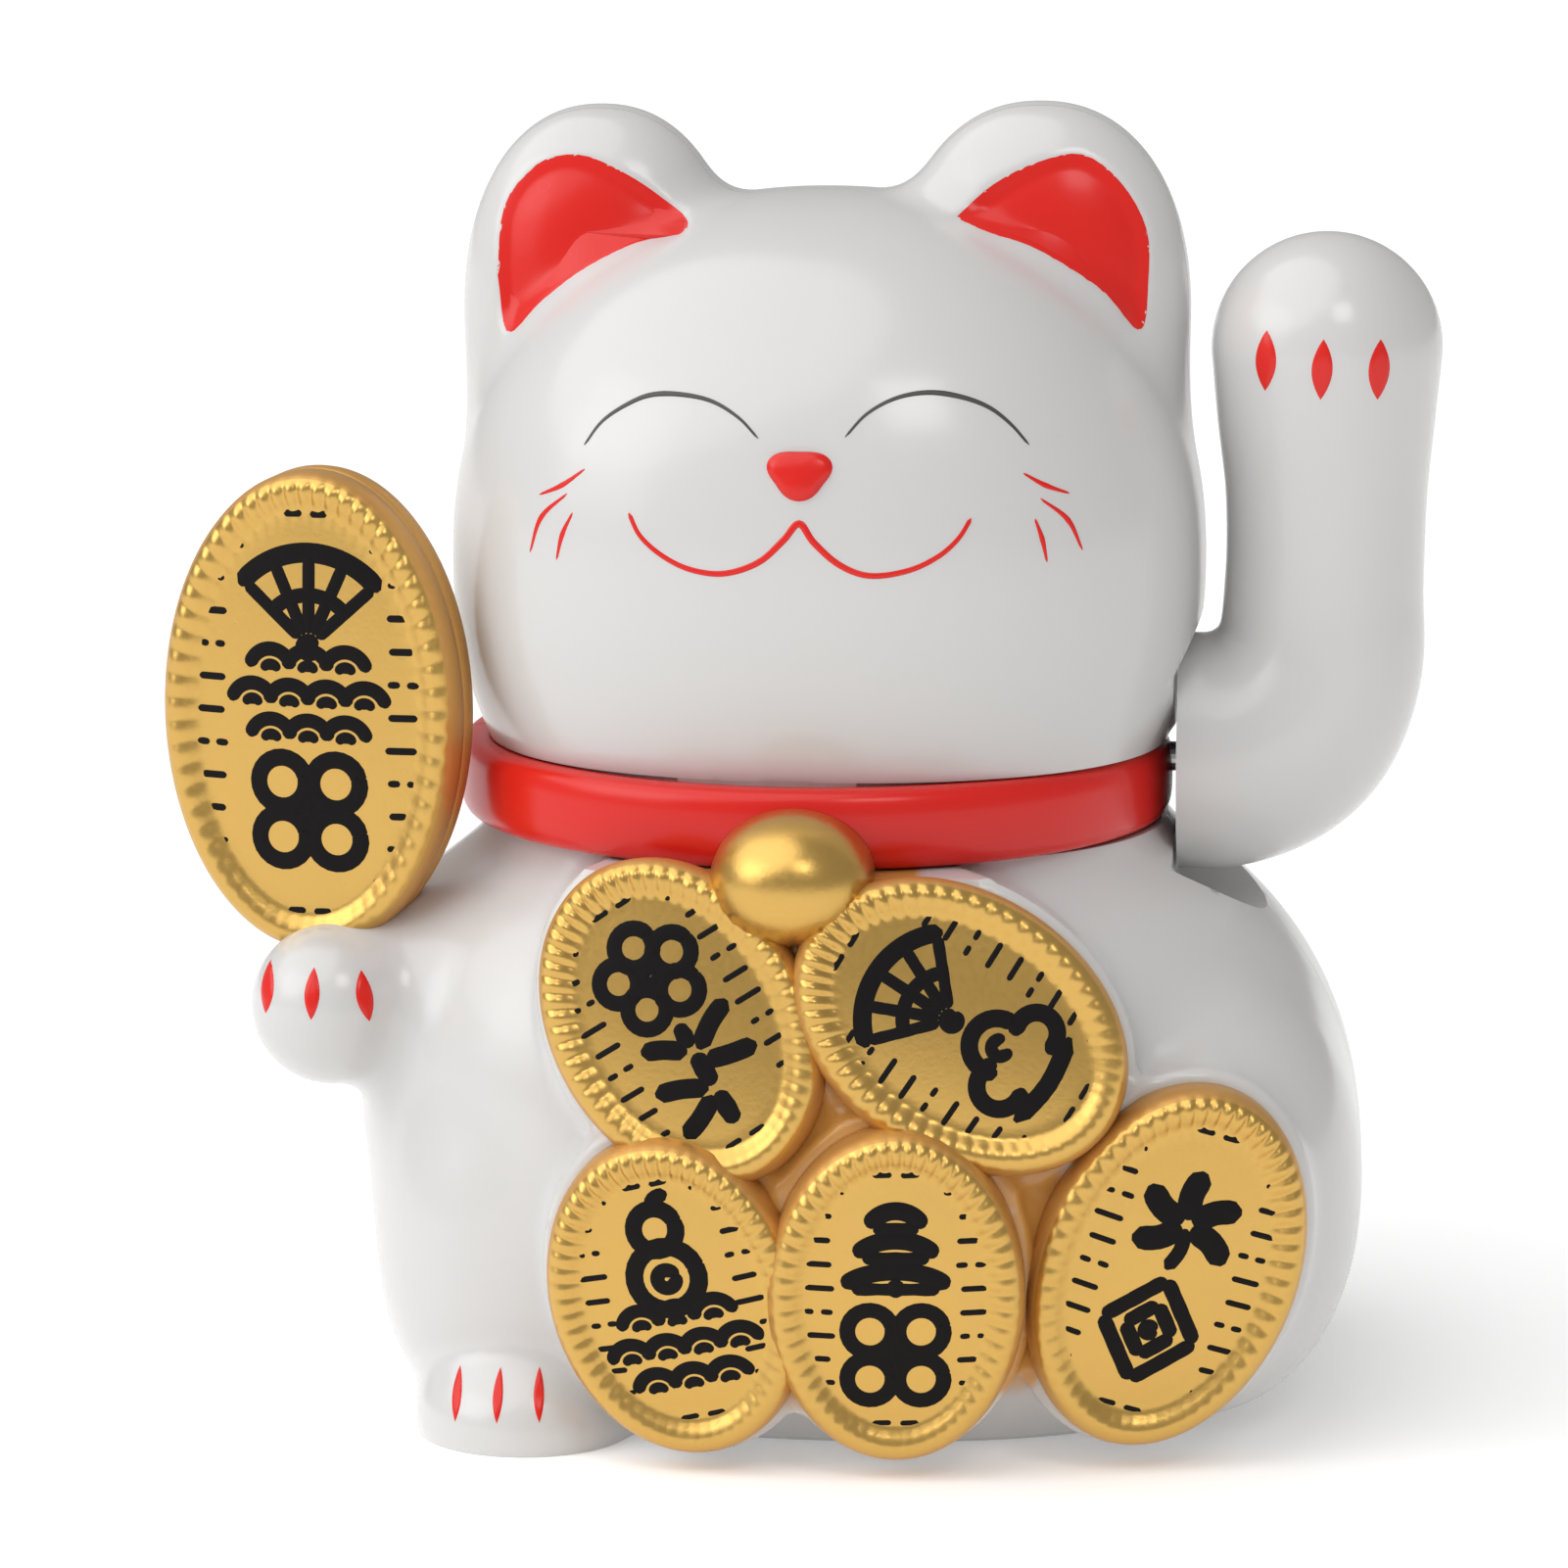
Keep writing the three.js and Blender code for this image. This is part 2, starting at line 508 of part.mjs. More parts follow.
for (const [i, s] of BASE_SCREWS.entries()) {
  const screw = bar(s.x, s.y, 2.2, 0.2, 1.3).add(bar(s.x, s.y, 1.0, 1.2, 11, 16))
    .subtract(box(s.x - 1.5, s.x + 1.5, s.y - 0.25, s.y + 0.25, 0, 0.75))
    .subtract(box(s.x - 0.25, s.x + 0.25, s.y - 1.5, s.y + 1.5, 0, 0.75));
  piece(`base_screw_${i + 1}`, screw, STEEL);
}

// ---- circuit board with coil ----
const boardTop = BOARD.z + BOARD.t;
let board = box(BOARD.x0, BOARD.x1, BOARD.y0, BOARD.y1, BOARD.z, boardTop);
for (const [x, y] of POSTS) board = board.subtract(bar(x, y, 0.95, 0, 20, 16));
piece("circuit_board", board, [0x2f6b3c, 0.5, 0]);
POSTS.forEach(([x, y], i) => {
  const screw = bar(x, y, 1.8, boardTop + 0.02, boardTop + 1.1, 20)
    .add(bar(x, y, 0.8, 3, boardTop + 0.2, 16))
    .subtract(box(x - 1.2, x + 1.2, y - 0.2, y + 0.2, boardTop + 0.6, boardTop + 2));
  piece(`board_screw_${i + 1}`, screw, STEEL);
});
const bobbin = bar(COIL.x, COIL.y, 5, boardTop + 0.02, boardTop + 0.8, 24)
  .add(bar(COIL.x, COIL.y, 2.2, boardTop + 0.1, boardTop + 6.4, 16))
  .add(bar(COIL.x, COIL.y, 5, boardTop + 5.6, boardTop + 6.4, 24));
piece("coil_bobbin", bobbin, BLACK);
const winding = bar(COIL.x, COIL.y, 4.6, boardTop + 0.85, boardTop + 5.55, 24)
  .subtract(bar(COIL.x, COIL.y, 2.25, 0, 30, 16));
piece("coil_winding", winding, [0xb5682e, 0.4, 0.7]);
piece("driver_chip", box(-4, 1.5, -8, -4, boardTop + 0.02, boardTop + 1.6), BLACK);
piece("capacitor", bar(6, -9.4, 2.5, boardTop + 0.02, boardTop + 7, 24), [0x27406b, 0.4, 0]);
const resistor = barX(0.5, boardTop + 1.1, 0.9, -3, 2.5, 16)
  .add(barX(0.5, boardTop + 1.1, 0.3, -4.6, 4.1, 12))
  .add(bar(-4.4, 0.5, 0.3, boardTop + 0.02, boardTop + 1.3, 12))
  .add(bar(3.9, 0.5, 0.3, boardTop + 0.02, boardTop + 1.3, 12));
piece("resistor", resistor, [0xc9b58a, 0.5, 0]);

// ---- switch ----
const around = (dx, dy, z0, z1) => box(SWITCH.x - dx, SWITCH.x + dx, SWITCH.y - dy, SWITCH.y + dy, z0, z1);
const switchTop = around(4.6, 2.6, PLATE_T + 0.1, PLATE_T + 4.2)
  .subtract(around(3.4, 1.7, 0, PLATE_T + 3));
piece("switch_body", switchTop, STEEL);
const knobX = SWITCH.x - 1;
const knob = box(knobX - 1.1, knobX + 1.1, SWITCH.y - 1.1, SWITCH.y + 1.1, 0.5, PLATE_T + 1)
  .add(box(knobX - 2.2, knobX + 2.2, SWITCH.y - 1.5, SWITCH.y + 1.5, PLATE_T + 0.5, PLATE_T + 2.6));
piece("switch_knob", knob, BLACK);

// ---- wires ----
const v = (x, y, z) => new THREE.Vector3(x, y, z);
piece("red_wire", wire([v(CELL_X1 + 2, CELL.y, 13), v(CELL_X1 + 1.5, 8, 15), v(22.5, 5, 14),
  v(22.5, 3.4, 11), v(22.5, 3.2, boardTop + 0.1)], 0.5, 4, 20), [0xc02018, 0.5, 0]);
piece("black_wire", wire([v(CELL_X0 - 3, 11, 11.9), v(CELL_X0 - 2, 6, 14), v(-15, 3.6, 12), v(-10, 1.6, 10),
  v(-10, 1.2, boardTop + 0.1)], 0.5, 4, 20), [0x161616, 0.5, 0]);

export default group;
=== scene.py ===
import json
import math
import bpy
import numpy as np
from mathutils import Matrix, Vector


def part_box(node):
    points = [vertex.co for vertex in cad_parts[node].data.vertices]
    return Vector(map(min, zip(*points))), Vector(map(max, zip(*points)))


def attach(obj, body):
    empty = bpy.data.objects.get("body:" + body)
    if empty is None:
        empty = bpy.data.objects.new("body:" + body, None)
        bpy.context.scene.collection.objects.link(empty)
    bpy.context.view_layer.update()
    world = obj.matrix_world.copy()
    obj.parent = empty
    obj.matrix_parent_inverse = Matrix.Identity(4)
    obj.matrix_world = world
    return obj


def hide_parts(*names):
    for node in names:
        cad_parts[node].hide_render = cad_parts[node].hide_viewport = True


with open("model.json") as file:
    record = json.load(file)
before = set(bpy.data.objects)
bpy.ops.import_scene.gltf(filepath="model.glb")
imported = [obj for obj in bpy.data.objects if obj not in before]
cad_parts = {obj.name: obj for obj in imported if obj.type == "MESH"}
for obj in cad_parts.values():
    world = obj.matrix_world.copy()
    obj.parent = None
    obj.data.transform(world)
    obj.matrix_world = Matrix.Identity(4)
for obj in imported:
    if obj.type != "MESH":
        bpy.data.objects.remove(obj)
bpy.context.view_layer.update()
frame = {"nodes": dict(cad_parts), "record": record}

MM = 0.001
pi = math.pi

# ------------------------------------------------------------------ the cat's form as fields, in mm
WALL = 1.75
EAR_DEPTH = 0.7
ARM_WALL = 1.6
HUB_R, HUB_X = 3.6, 39
BORE_R, BORE_X = 1.3, 38.6
HEAD = ((0, 0, 71), (31.9, 27.5, 31.1), 2.22)
EARS = (((-19.4, 1.5, 91.3), (11.8, 8.2, 17.6), 2.2), ((17.7, 1.5, 91.7), (12.7, 8.2, 17.8), 2.2))
BODY_AT, BODY_X, BODY_FRONT, BODY_BACK, BODY_UP, BODY_DOWN = (3.2, 0.6, 22), 42.7, 34.6, 40, 32, 29.3
LEG = ((30.5, -11, 19.8), (15.4, 21, 19.7), 2.2)
HIP = ((-21.9, -12, 14.5), (15.3, 17, 17.5), 2.3)
FOOT = ((-23.6, -22.8, 1.6), (9.3, 9.6, 7.0), 2.0)
LIMB = [(-27, -4, 35.5, 10), (-32, -8.5, 35, 8.8), (-37.2, -13, 34.8, 7.5), (-40.6, -16.4, 34.8, 6.8)]
COLLAR_X, COLLAR_Z, COLLAR_H = -1.1, 52.5, 6.7
NECK = (26.4, 24.6)
BAND = 4.0
AXLE_Z, ARM_X = 54.0, 29.9
POCKET = (29.6, 12.8)
ARM = [(28.4, 0, 54.6, 10), (34, 0, 54.8, 10), (38.6, 0, 57.2, 9.7), (41.4, 0, 62.2, 8.9), (41.9, 0, 69, 8.4),
       (42, 0, 77, 8.5), (41.9, 0, 84, 9.2), (41.9, 0, 89.2, 9.7)]
COIN_T = 4.2
COINS = {  # x, y, z, tilt, yaw, pitch, half width, half height
    "belly_coin_upper_left": (-9.2, -31.2, 37.1, 33, -6, 10, 10.9, 14.3),
    "belly_coin_upper_right": (13.2, -31.6, 37.3, 56, 8, 10, 10.9, 14.8),
    "belly_coin_lower_left": (-9.4, -33.4, 15.2, 13, -6, -5, 10.7, 13.6),
    "belly_coin_lower_middle": (8.3, -34.3, 15.9, 0, 4, -5, 10.6, 14.2),
    "belly_coin_lower_right": (29.9, -29.2, 17.4, -19, 12, -3, 11.1, 15.6),
}
HELD_AT, HELD_YAW = (-42, -13, 59.4), -11
HELD_HW, HELD_HH, HELD_T = 13, 20.4, 3.6
CLAWS_ARM = [(37.0, 89.1, 0.1), (41.7, 88.6, 0.2), (46.4, 88.5, 0.2)]
CLAWS_PAW = [(-45.5, 36.9, 0.2), (-41.4, 36.9, 0.1), (-37.1, 36.6, -0.8)]
CLAWS_FOOT = [(-28.6, 4.6, 0.1), (-25.0, 4.9, 0), (-21.6, 5.0, -0.3)]
EAR_LEFT = [(-27.7, 95.2), (-27.2, 100.7), (-24.6, 104.2), (-20.9, 105.2), (-17.0, 103.8), (-13.6, 101.6),
            (-11.3, 99.5), (-15.6, 98.3), (-20.1, 96.0), (-23.7, 93.2), (-26.7, 90.4)]
EAR_RIGHT = [(11.0, 100.5), (14.1, 103.2), (17.7, 105.0), (21.4, 105.6), (24.6, 103.3), (26.8, 99.4),
             (27.0, 95.0), (26.4, 91.1), (23.2, 94.6), (17.9, 98.0), (13.8, 99.4)]


def egg(p, c, r, e):
    d = [p[i] - c[i] for i in range(3)]
    s = (np.abs(d[0] / r[0]) ** e + np.abs(d[1] / r[1]) ** e + np.abs(d[2] / r[2]) ** e) ** (1 / e)
    return np.sqrt(d[0] ** 2 + d[1] ** 2 + d[2] ** 2) * (1 - 1 / np.maximum(s, 1e-6))


def blend(a, b, k):
    h = np.maximum(k - np.abs(a - b), 0) / k
    return np.minimum(a, b) - h * h * k * 0.25


def carve(a, b, k):
    return -blend(-a, -b, k)


def smooth_path(stops, steps):
    """Catmull-Rom through the stops, each a tuple of any length."""
    pts = [np.array(s, float) for s in stops]
    pts = [2 * pts[0] - pts[1]] + pts + [2 * pts[-1] - pts[-2]]
    out = []
    n = len(stops) - 1
    for i in range(steps + 1):
        u = i / steps * n
        k = min(int(u), n - 1)
        t = u - k
        a, b, c, d = pts[k:k + 4]
        out.append(0.5 * (2 * b + (c - a) * t + (2 * a - 5 * b + 4 * c - d) * t * t
                          + (3 * b - a - 3 * c + d) * t ** 3))
    return np.array(out)


def worm(p, stops, steps=48):
    """Distance to a round bar of changing radius."""
    best = None
    for x, y, z, r in smooth_path(stops, steps):
        d = np.sqrt((p[0] - x) ** 2 + (p[1] - y) ** 2 + (p[2] - z) ** 2) - r
        best = d if best is None else np.minimum(best, d)
    return best


def rot(axis, deg):
    a = math.radians(deg)
    c, s = math.cos(a), math.sin(a)
    if axis == "x":
        return np.array([[1, 0, 0], [0, c, -s], [0, s, c]])
    if axis == "y":
        return np.array([[c, 0, s], [0, 1, 0], [-s, 0, c]])
    return np.array([[c, -s, 0], [s, c, 0], [0, 0, 1]])


def coin_turn(tilt, yaw, pitch):
    return rot("z", yaw) @ rot("x", -pitch) @ rot("y", -tilt)


def poly_inside(x, z, poly):
    """Signed distance to a closed outline, negative inside."""
    d2 = np.full(x.shape, 1e9)
    sign = np.ones(x.shape)
    n = len(poly)
    for i in range(n):
        ax, az = poly[i]
        bx, bz = poly[i - 1]
        ex, ez = bx - ax, bz - az
        wx, wz = x - ax, z - az
        t = np.clip((wx * ex + wz * ez) / (ex * ex + ez * ez), 0, 1)
        d2 = np.minimum(d2, (wx - ex * t) ** 2 + (wz - ez * t) ** 2)
        c1, c2, c3 = z >= az, z < bz, ex * wz > ez * wx
        flip = (c1 & c2 & c3) | (~c1 & ~c2 & ~c3)
        sign = np.where(flip, -sign, sign)
    return sign * np.sqrt(d2)


def ramp(x, a, b):
    t = np.clip((x - a) / (b - a), 0, 1)
    return t * t * (3 - 2 * t)


EAR_L = [tuple(q) for q in smooth_path(EAR_LEFT + [EAR_LEFT[0]], 44)[:-1]]
EAR_R = [tuple(q) for q in smooth_path(EAR_RIGHT + [EAR_RIGHT[0]], 44)[:-1]]


def ear_hollow(p):
    """Distance inside the painted ear hollows, seen from the front; zero elsewhere."""
    depth = np.full(p[0].shape, -9.0)
    near = (p[1] < 1) & (p[2] > 86) & (p[2] < 108) & (np.abs(p[0]) > 8)
    if near.any():
        x, z = p[0][near], p[2][near]
        left = x < 0
        d = np.empty(x.shape)
        for side, poly in ((left, EAR_L), (~left, EAR_R)):
            if side.any():
                d[side] = -poly_inside(x[side], z[side], poly)
        depth[near] = d
    return depth


def near_only(f, p, mask, change):
    """Apply a change to the part of the field where it can matter."""
    if mask.any():
        q = [c[mask] for c in p]
        f = f.copy()
        f[mask] = change(f[mask], q)
    return f


def skin(p):
    lean = np.clip((52 - p[2]) / 34, 0, 1)
    f = blend(egg(p, *HEAD), np.minimum(egg(p, *EARS[0]), egg(p, *EARS[1])), 3.5)
    up = np.where(p[2] > BODY_AT[2], BODY_UP, BODY_DOWN)
    deep = np.where(p[1] > BODY_AT[1], BODY_BACK, BODY_FRONT)
    b = egg(p, (BODY_AT[0] * lean, BODY_AT[1], BODY_AT[2]), (BODY_X, deep, up), 2.3)
    b = blend(blend(b, egg(p, *LEG), 1.6), egg(p, *HIP), 3)
    return blend(f, b, 9)


def coin_local(p, c):
    m = coin_turn(*c[3:6]).T
    d = [p[i] - c[i] for i in range(3)]
    return [m[i][0] * d[0] + m[i][1] * d[1] + m[i][2] * d[2] for i in range(3)]


def ledge(f, q, c):
    hw, hh = c[6] + 0.9, c[7] + 0.9
    e = np.sqrt((q[0] / hw) ** 2 + (q[2] / hh) ** 2)
    side = (e - 1) * hw * 1.05
    return blend(f, carve(side, np.maximum(-q[1] - 0.15, q[1] - 12), 0.9), 1.6)


def outside(p):
    """Outer skin with limb, foot, ledges and ear hollows."""
    f = skin(p)
    f = near_only(f, p, (p[0] < -12) & (p[2] < 58), lambda g, q: blend(g, worm(q, LIMB, 20), 4))
    f = near_only(f, p, (p[0] < -8) & (p[2] < 20), lambda g, q: blend(g, egg(q, *FOOT), 2.5))
    for c in COINS.values():
        reach = (np.abs(p[0] - c[0]) < 18) & (np.abs(p[2] - c[2]) < 18) & (p[1] < -14)
        f = near_only(f, p, reach, lambda g, q, c=c: ledge(g, coin_local(q, c), c))
    return f + EAR_DEPTH * ramp(ear_hollow(p), -0.5, 1.4)


def groove(p, grow):
    a, b = NECK[0] - grow, NECK[1] - grow
    d = (np.sqrt(((p[0] - COLLAR_X) / a) ** 2 + (p[1] / b) ** 2) - 1) * b
    return np.maximum(np.abs(p[2] - COLLAR_Z) - (COLLAR_H / 2 + 0.12 + grow), -d)


def pocket(p, grow):
    r = np.sqrt(p[1] ** 2 + (p[2] - AXLE_Z) ** 2)
    return np.maximum(r - POCKET[1] - grow, POCKET[0] - grow - p[0])


def inside(p):
    f = skin(p) + WALL + EAR_DEPTH * ramp(ear_hollow(p), -0.5, 1.4)
    limb = [(x, y, z, r - WALL) for x, y, z, r in LIMB[:2]]
    f = near_only(f, p, (p[0] < -12) & (p[2] < 58), lambda g, q: blend(g, worm(q, limb, 8), 2))
    f = np.maximum(f, -groove(p, WALL))
    return np.maximum(f, -pocket(p, WALL))


# ------------------------------------------------------------------ meshing of a field
EDGES = [(a, b) for a in range(8) for b in range(a + 1, 8) if bin(a ^ b).count("1") == 1]


def nets(parts, lo, hi, step):
    """Closed quad mesh of the solid where every part is negative; corners are kept sharp."""
    axes = [np.arange(lo[i], hi[i] + step, step) for i in range(3)]
    grid = np.meshgrid(*axes, indexing="ij")
    value = parts[0](grid)
    for part in parts[1:]:
        value = np.maximum(value, part(grid))
    solid = value < 0
    n = value.shape
    corner = []
    count = np.zeros((n[0] - 1, n[1] - 1, n[2] - 1), int)
    for k in range(8):
        i, j, m = k & 1, k >> 1 & 1, k >> 2 & 1
        sl = (slice(i, n[0] - 1 + i), slice(j, n[1] - 1 + j), slice(m, n[2] - 1 + m))
        corner.append(value[sl])
        count += solid[sl]
    mixed = (count > 0) & (count < 8)
    cell = np.argwhere(mixed)
    v = np.stack([c[mixed] for c in corner], 1)
    total = np.zeros((len(cell), 3))
    hits = np.zeros(len(cell))
    off = np.array([[k & 1, k >> 1 & 1, k >> 2 & 1] for k in range(8)], float)
    for a, b in EDGES:
        cross = (v[:, a] < 0) != (v[:, b] < 0)
        den = np.where(cross, v[:, a] - v[:, b], 1)
        t = np.where(cross, v[:, a] / den, 0)
        total += cross[:, None] * (off[a] + t[:, None] * (off[b] - off[a]))
        hits += cross
    pts = (cell + total / hits[:, None]) * step + np.array([a[0] for a in axes])
    index = np.full(mixed.shape, -1)
    index[mixed] = np.arange(len(cell))
    quads = []
    for ax in range(3):
        o1, o2 = [k for k in range(3) if k != ax]
        s0 = [slice(1, n[k] - 1) for k in range(3)]
        s1 = list(s0)
        s0[ax] = slice(0, n[ax] - 1)
        s1[ax] = slice(1, n[ax])
        a, b = solid[tuple(s0)], solid[tuple(s1)]
        where = np.argwhere(a != b)
        flip = a[a != b]
        base = where.copy()
        base[:, o1] += 1
        base[:, o2] += 1
        ring = []
        for d1, d2 in ((-1, -1), (0, -1), (0, 0), (-1, 0)):
            q = base.copy()
            q[:, o1] += d1
            q[:, o2] += d2
            ring.append(index[q[:, 0], q[:, 1], q[:, 2]])
        quad = np.stack(ring, 1)
        if ax == 1:
            flip = ~flip
        quad[~flip] = quad[~flip][:, ::-1]
        quads.append(quad)
    quads = np.concatenate(quads)
    start = pts.copy()
    active = [np.abs(part(pts.T)) < step * 0.75 for part in parts]
    for _ in range(5):
        for part, on in zip(parts, active):
            if on.any():
                p = pts[on].T
                f = part(p)
                g = np.stack([(part(p + np.eye(3)[:, [k]] * 0.02) - f) / 0.02 for k in range(3)])
                g2 = np.maximum((g * g).sum(0), 0.05)
                pts[on] -= (f / g2 * g).T * 0.9
    drift = pts - start
    far = np.linalg.norm(drift, axis=1) > step * 1.2
    pts[far] = start[far]
    return pts, quads


def mesh_object(name, pts, faces, smooth=True, angle=40):
    mesh = bpy.data.meshes.new(name)
    pts = np.asarray(pts, float) * MM
    if isinstance(faces, np.ndarray):
        mesh.vertices.add(len(pts))
        mesh.vertices.foreach_set("co", pts.astype(np.float32).ravel())
        k = faces.shape[1]
        mesh.loops.add(faces.size)
        mesh.loops.foreach_set("vertex_index", faces.astype(np.int32).ravel())
        mesh.polygons.add(len(faces))
        mesh.polygons.foreach_set("loop_start", np.arange(0, faces.size, k, dtype=np.int32))
        mesh.update(calc_edges=True)
        mesh.validate()
    else:
        mesh.from_pydata([tuple(q) for q in pts], [], [tuple(f) for f in faces])
    if smooth:
        mesh.polygons.foreach_set("use_smooth", [True] * len(mesh.polygons))
        mesh.set_sharp_from_angle(angle=math.radians(angle))
    obj = bpy.data.objects.new(name, mesh)
    bpy.context.scene.collection.objects.link(obj)
    return obj


class Mesh:
    """Collects several closed forms into one mesh."""

    def __init__(self):
        self.pts, self.faces, self.slots = [], [], []

    def rings(self, rings, slots=None):
        n = len(rings[0])
        pts = [q for ring in rings for q in ring]
        faces, tags = [], []
        for i in range(len(rings) - 1):
            for j in range(n):
                a, b = i * n + j, i * n + (j + 1) % n
                faces.append((a, b, b + n, a + n))
                tags.append(slots[i] if slots else 0)
        pts += [np.mean(rings[0], 0), np.mean(rings[-1], 0)]
        c0, c1, last = len(pts) - 2, len(pts) - 1, (len(rings) - 1) * n
        for j in range(n):
            k = (j + 1) % n
            faces += [(c0, k, j), (c1, last + j, last + k)]
            tags += [slots[0] if slots else 0, slots[-1] if slots else 0]
        base = len(self.pts)
        self.pts += [tuple(q) for q in pts]
        self.faces += [tuple(base + i for i in f) for f in faces]
        self.slots += tags

    def make(self, name, mats, angle=40):
        obj = mesh_object(name, self.pts, self.faces, True, angle)
        for m in mats:
            obj.data.materials.append(m)
        obj.data.polygons.foreach_set("material_index", self.slots)
        obj.data.update()
        return obj


# ------------------------------------------------------------------ materials
BUMP_DEPTH = 0.00004


def node_mat(name, color, rough=0.3, metal=0.0, coat=0.0, coat_rough=0.1, sss=0.0, grain=0.0,
             grain_scale=900.0, tint=0.04, rough_var=0.06, spec=0.5, paint=()):
    """Base colour and roughness drift with noise; paint lists (attribute, colour) laid over the base."""
    m = bpy.data.materials.new(name)
    m.use_nodes = True
    t = m.node_tree
    b = t.nodes["Principled BSDF"]
    b.inputs["Metallic"].default_value = metal
    b.inputs["Coat Weight"].default_value = coat
    b.inputs["Coat Roughness"].default_value = coat_rough
    b.inputs["Specular IOR Level"].default_value = spec
    if sss:
        b.inputs["Subsurface Weight"].default_value = sss
        b.inputs["Subsurface Radius"].default_value = (1.0, 0.72, 0.5)
        b.inputs["Subsurface Scale"].default_value = 0.0022
    coord = t.nodes.new("ShaderNodeTexCoord")
    wide = t.nodes.new("ShaderNodeTexNoise")
    wide.inputs["Scale"].default_value = 60
    wide.inputs["Detail"].default_value = 3
    fine = t.nodes.new("ShaderNodeTexNoise")
    fine.inputs["Scale"].default_value = grain_scale
    fine.inputs["Detail"].default_value = 2
    t.links.new(coord.outputs["Object"], wide.inputs["Vector"])
    t.links.new(coord.outputs["Object"], fine.inputs["Vector"])
    mix = t.nodes.new("ShaderNodeMix")
    mix.data_type = "RGBA"
    mix.inputs["A"].default_value = (*[max(0, c * (1 - tint)) for c in color], 1)
    mix.inputs["B"].default_value = (*[min(1, c * (1 + tint)) for c in color], 1)
    t.links.new(wide.outputs["Fac"], mix.inputs["Factor"])
    out = mix.outputs["Result"]
    for attribute, shade in paint:
        att = t.nodes.new("ShaderNodeAttribute")
        att.attribute_name = attribute
        over = t.nodes.new("ShaderNodeMix")
        over.data_type = "RGBA"
        over.inputs["B"].default_value = (*shade, 1)
        t.links.new(att.outputs["Fac"], over.inputs["Factor"])
        t.links.new(out, over.inputs["A"])
        out = over.outputs["Result"]
    t.links.new(out, b.inputs["Base Color"])
    mr = t.nodes.new("ShaderNodeMapRange")
    mr.inputs["To Min"].default_value = rough - rough_var / 2
    mr.inputs["To Max"].default_value = rough + rough_var / 2
    t.links.new((fine if metal > 0.3 else wide).outputs["Fac"], mr.inputs["Value"])
    t.links.new(mr.outputs["Result"], b.inputs["Roughness"])
    if grain:
        bump = t.nodes.new("ShaderNodeBump")
        bump.inputs["Strength"].default_value = grain
        bump.inputs["Distance"].default_value = BUMP_DEPTH
        t.links.new(fine.outputs["Fac"], bump.inputs["Height"])
        t.links.new(bump.outputs["Normal"], b.inputs["Normal"])
    return m


RED_RGB = (0.66, 0.015, 0.010)
GILT_RGB = (0.60, 0.30, 0.075)
M_WHITE = node_mat("white_abs", (0.60, 0.592, 0.582), 0.24, coat=0.25, coat_rough=0.12, sss=0.12, tint=0.012,
                   paint=(("gilt", GILT_RGB),))
M_RED = node_mat("red_gloss", RED_RGB, 0.26, coat=0.12, coat_rough=0.15, tint=0.05, spec=0.3)
M_GOLD = node_mat("gold_satin", (0.63, 0.39, 0.105), 0.31, metal=0.9, grain=0.35, grain_scale=2600, tint=0.05,
                  rough_var=0.14)
M_EDGE = node_mat("gold_edge", (0.60, 0.32, 0.085), 0.42, metal=0.5, grain=0.3, grain_scale=2600, tint=0.06)
M_PRINT = node_mat("black_print", (0.006, 0.005, 0.005), 0.55, tint=0.3, spec=0.12)
M_LINE = node_mat("grey_print", (0.055, 0.048, 0.045), 0.4, tint=0.1)
SLOT_MATS = {
    "white_plastic": M_WHITE,
    "red_paint": M_RED,
    "gold_paint": M_GOLD,
    "steel": node_mat("plated_steel", (0.6, 0.61, 0.63), 0.28, metal=1, grain=0.2, grain_scale=500),
    "black_plastic": node_mat("black_moulded", (0.02, 0.02, 0.022), 0.5, grain=0.4, grain_scale=700),
    "natural_plastic": node_mat("natural_acetal", (0.72, 0.69, 0.6), 0.4, sss=0.1),
    "magnet": node_mat("nickel", (0.55, 0.56, 0.57), 0.16, metal=1),
    "cell_wrap": node_mat("cell_sleeve", (0.05, 0.13, 0.26), 0.3, coat=0.3),
    "board": node_mat("solder_mask", (0.03, 0.15, 0.06), 0.35, coat=0.3, grain=0.3, grain_scale=400,
                      tint=0.2),
    "copper": node_mat("copper_wire", (0.62, 0.26, 0.11), 0.3, metal=0.9, grain=0.5, grain_scale=1500),
    "blue_sleeve": node_mat("capacitor_sleeve", (0.03, 0.07, 0.2), 0.35, coat=0.2),
    "resistor_body": node_mat("resistor_lacquer", (0.62, 0.5, 0.3), 0.45),
    "red_insulation": node_mat("red_pvc", (0.5, 0.03, 0.02), 0.45),
    "black_insulation": node_mat("black_pvc", (0.02, 0.02, 0.02), 0.45),
}
slot_of = {s["node"]: s["material_slot"] for s in frame["record"]["subparts"]}
for node, obj in frame["nodes"].items():
    mat = SLOT_MATS[slot_of[node]]
    if not obj.material_slots:
        obj.data.materials.append(mat)
    for s in obj.material_slots:
        s.material = mat


def finish_piece(obj, body, slot, *nodes):
    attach(obj, body)
    if nodes:
        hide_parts(*nodes)
    return obj


# ------------------------------------------------------------------ body shells
STEP = 0.55
SEAM = 0.05  # half the gap between the shells
ARM_SEAM = 0.03


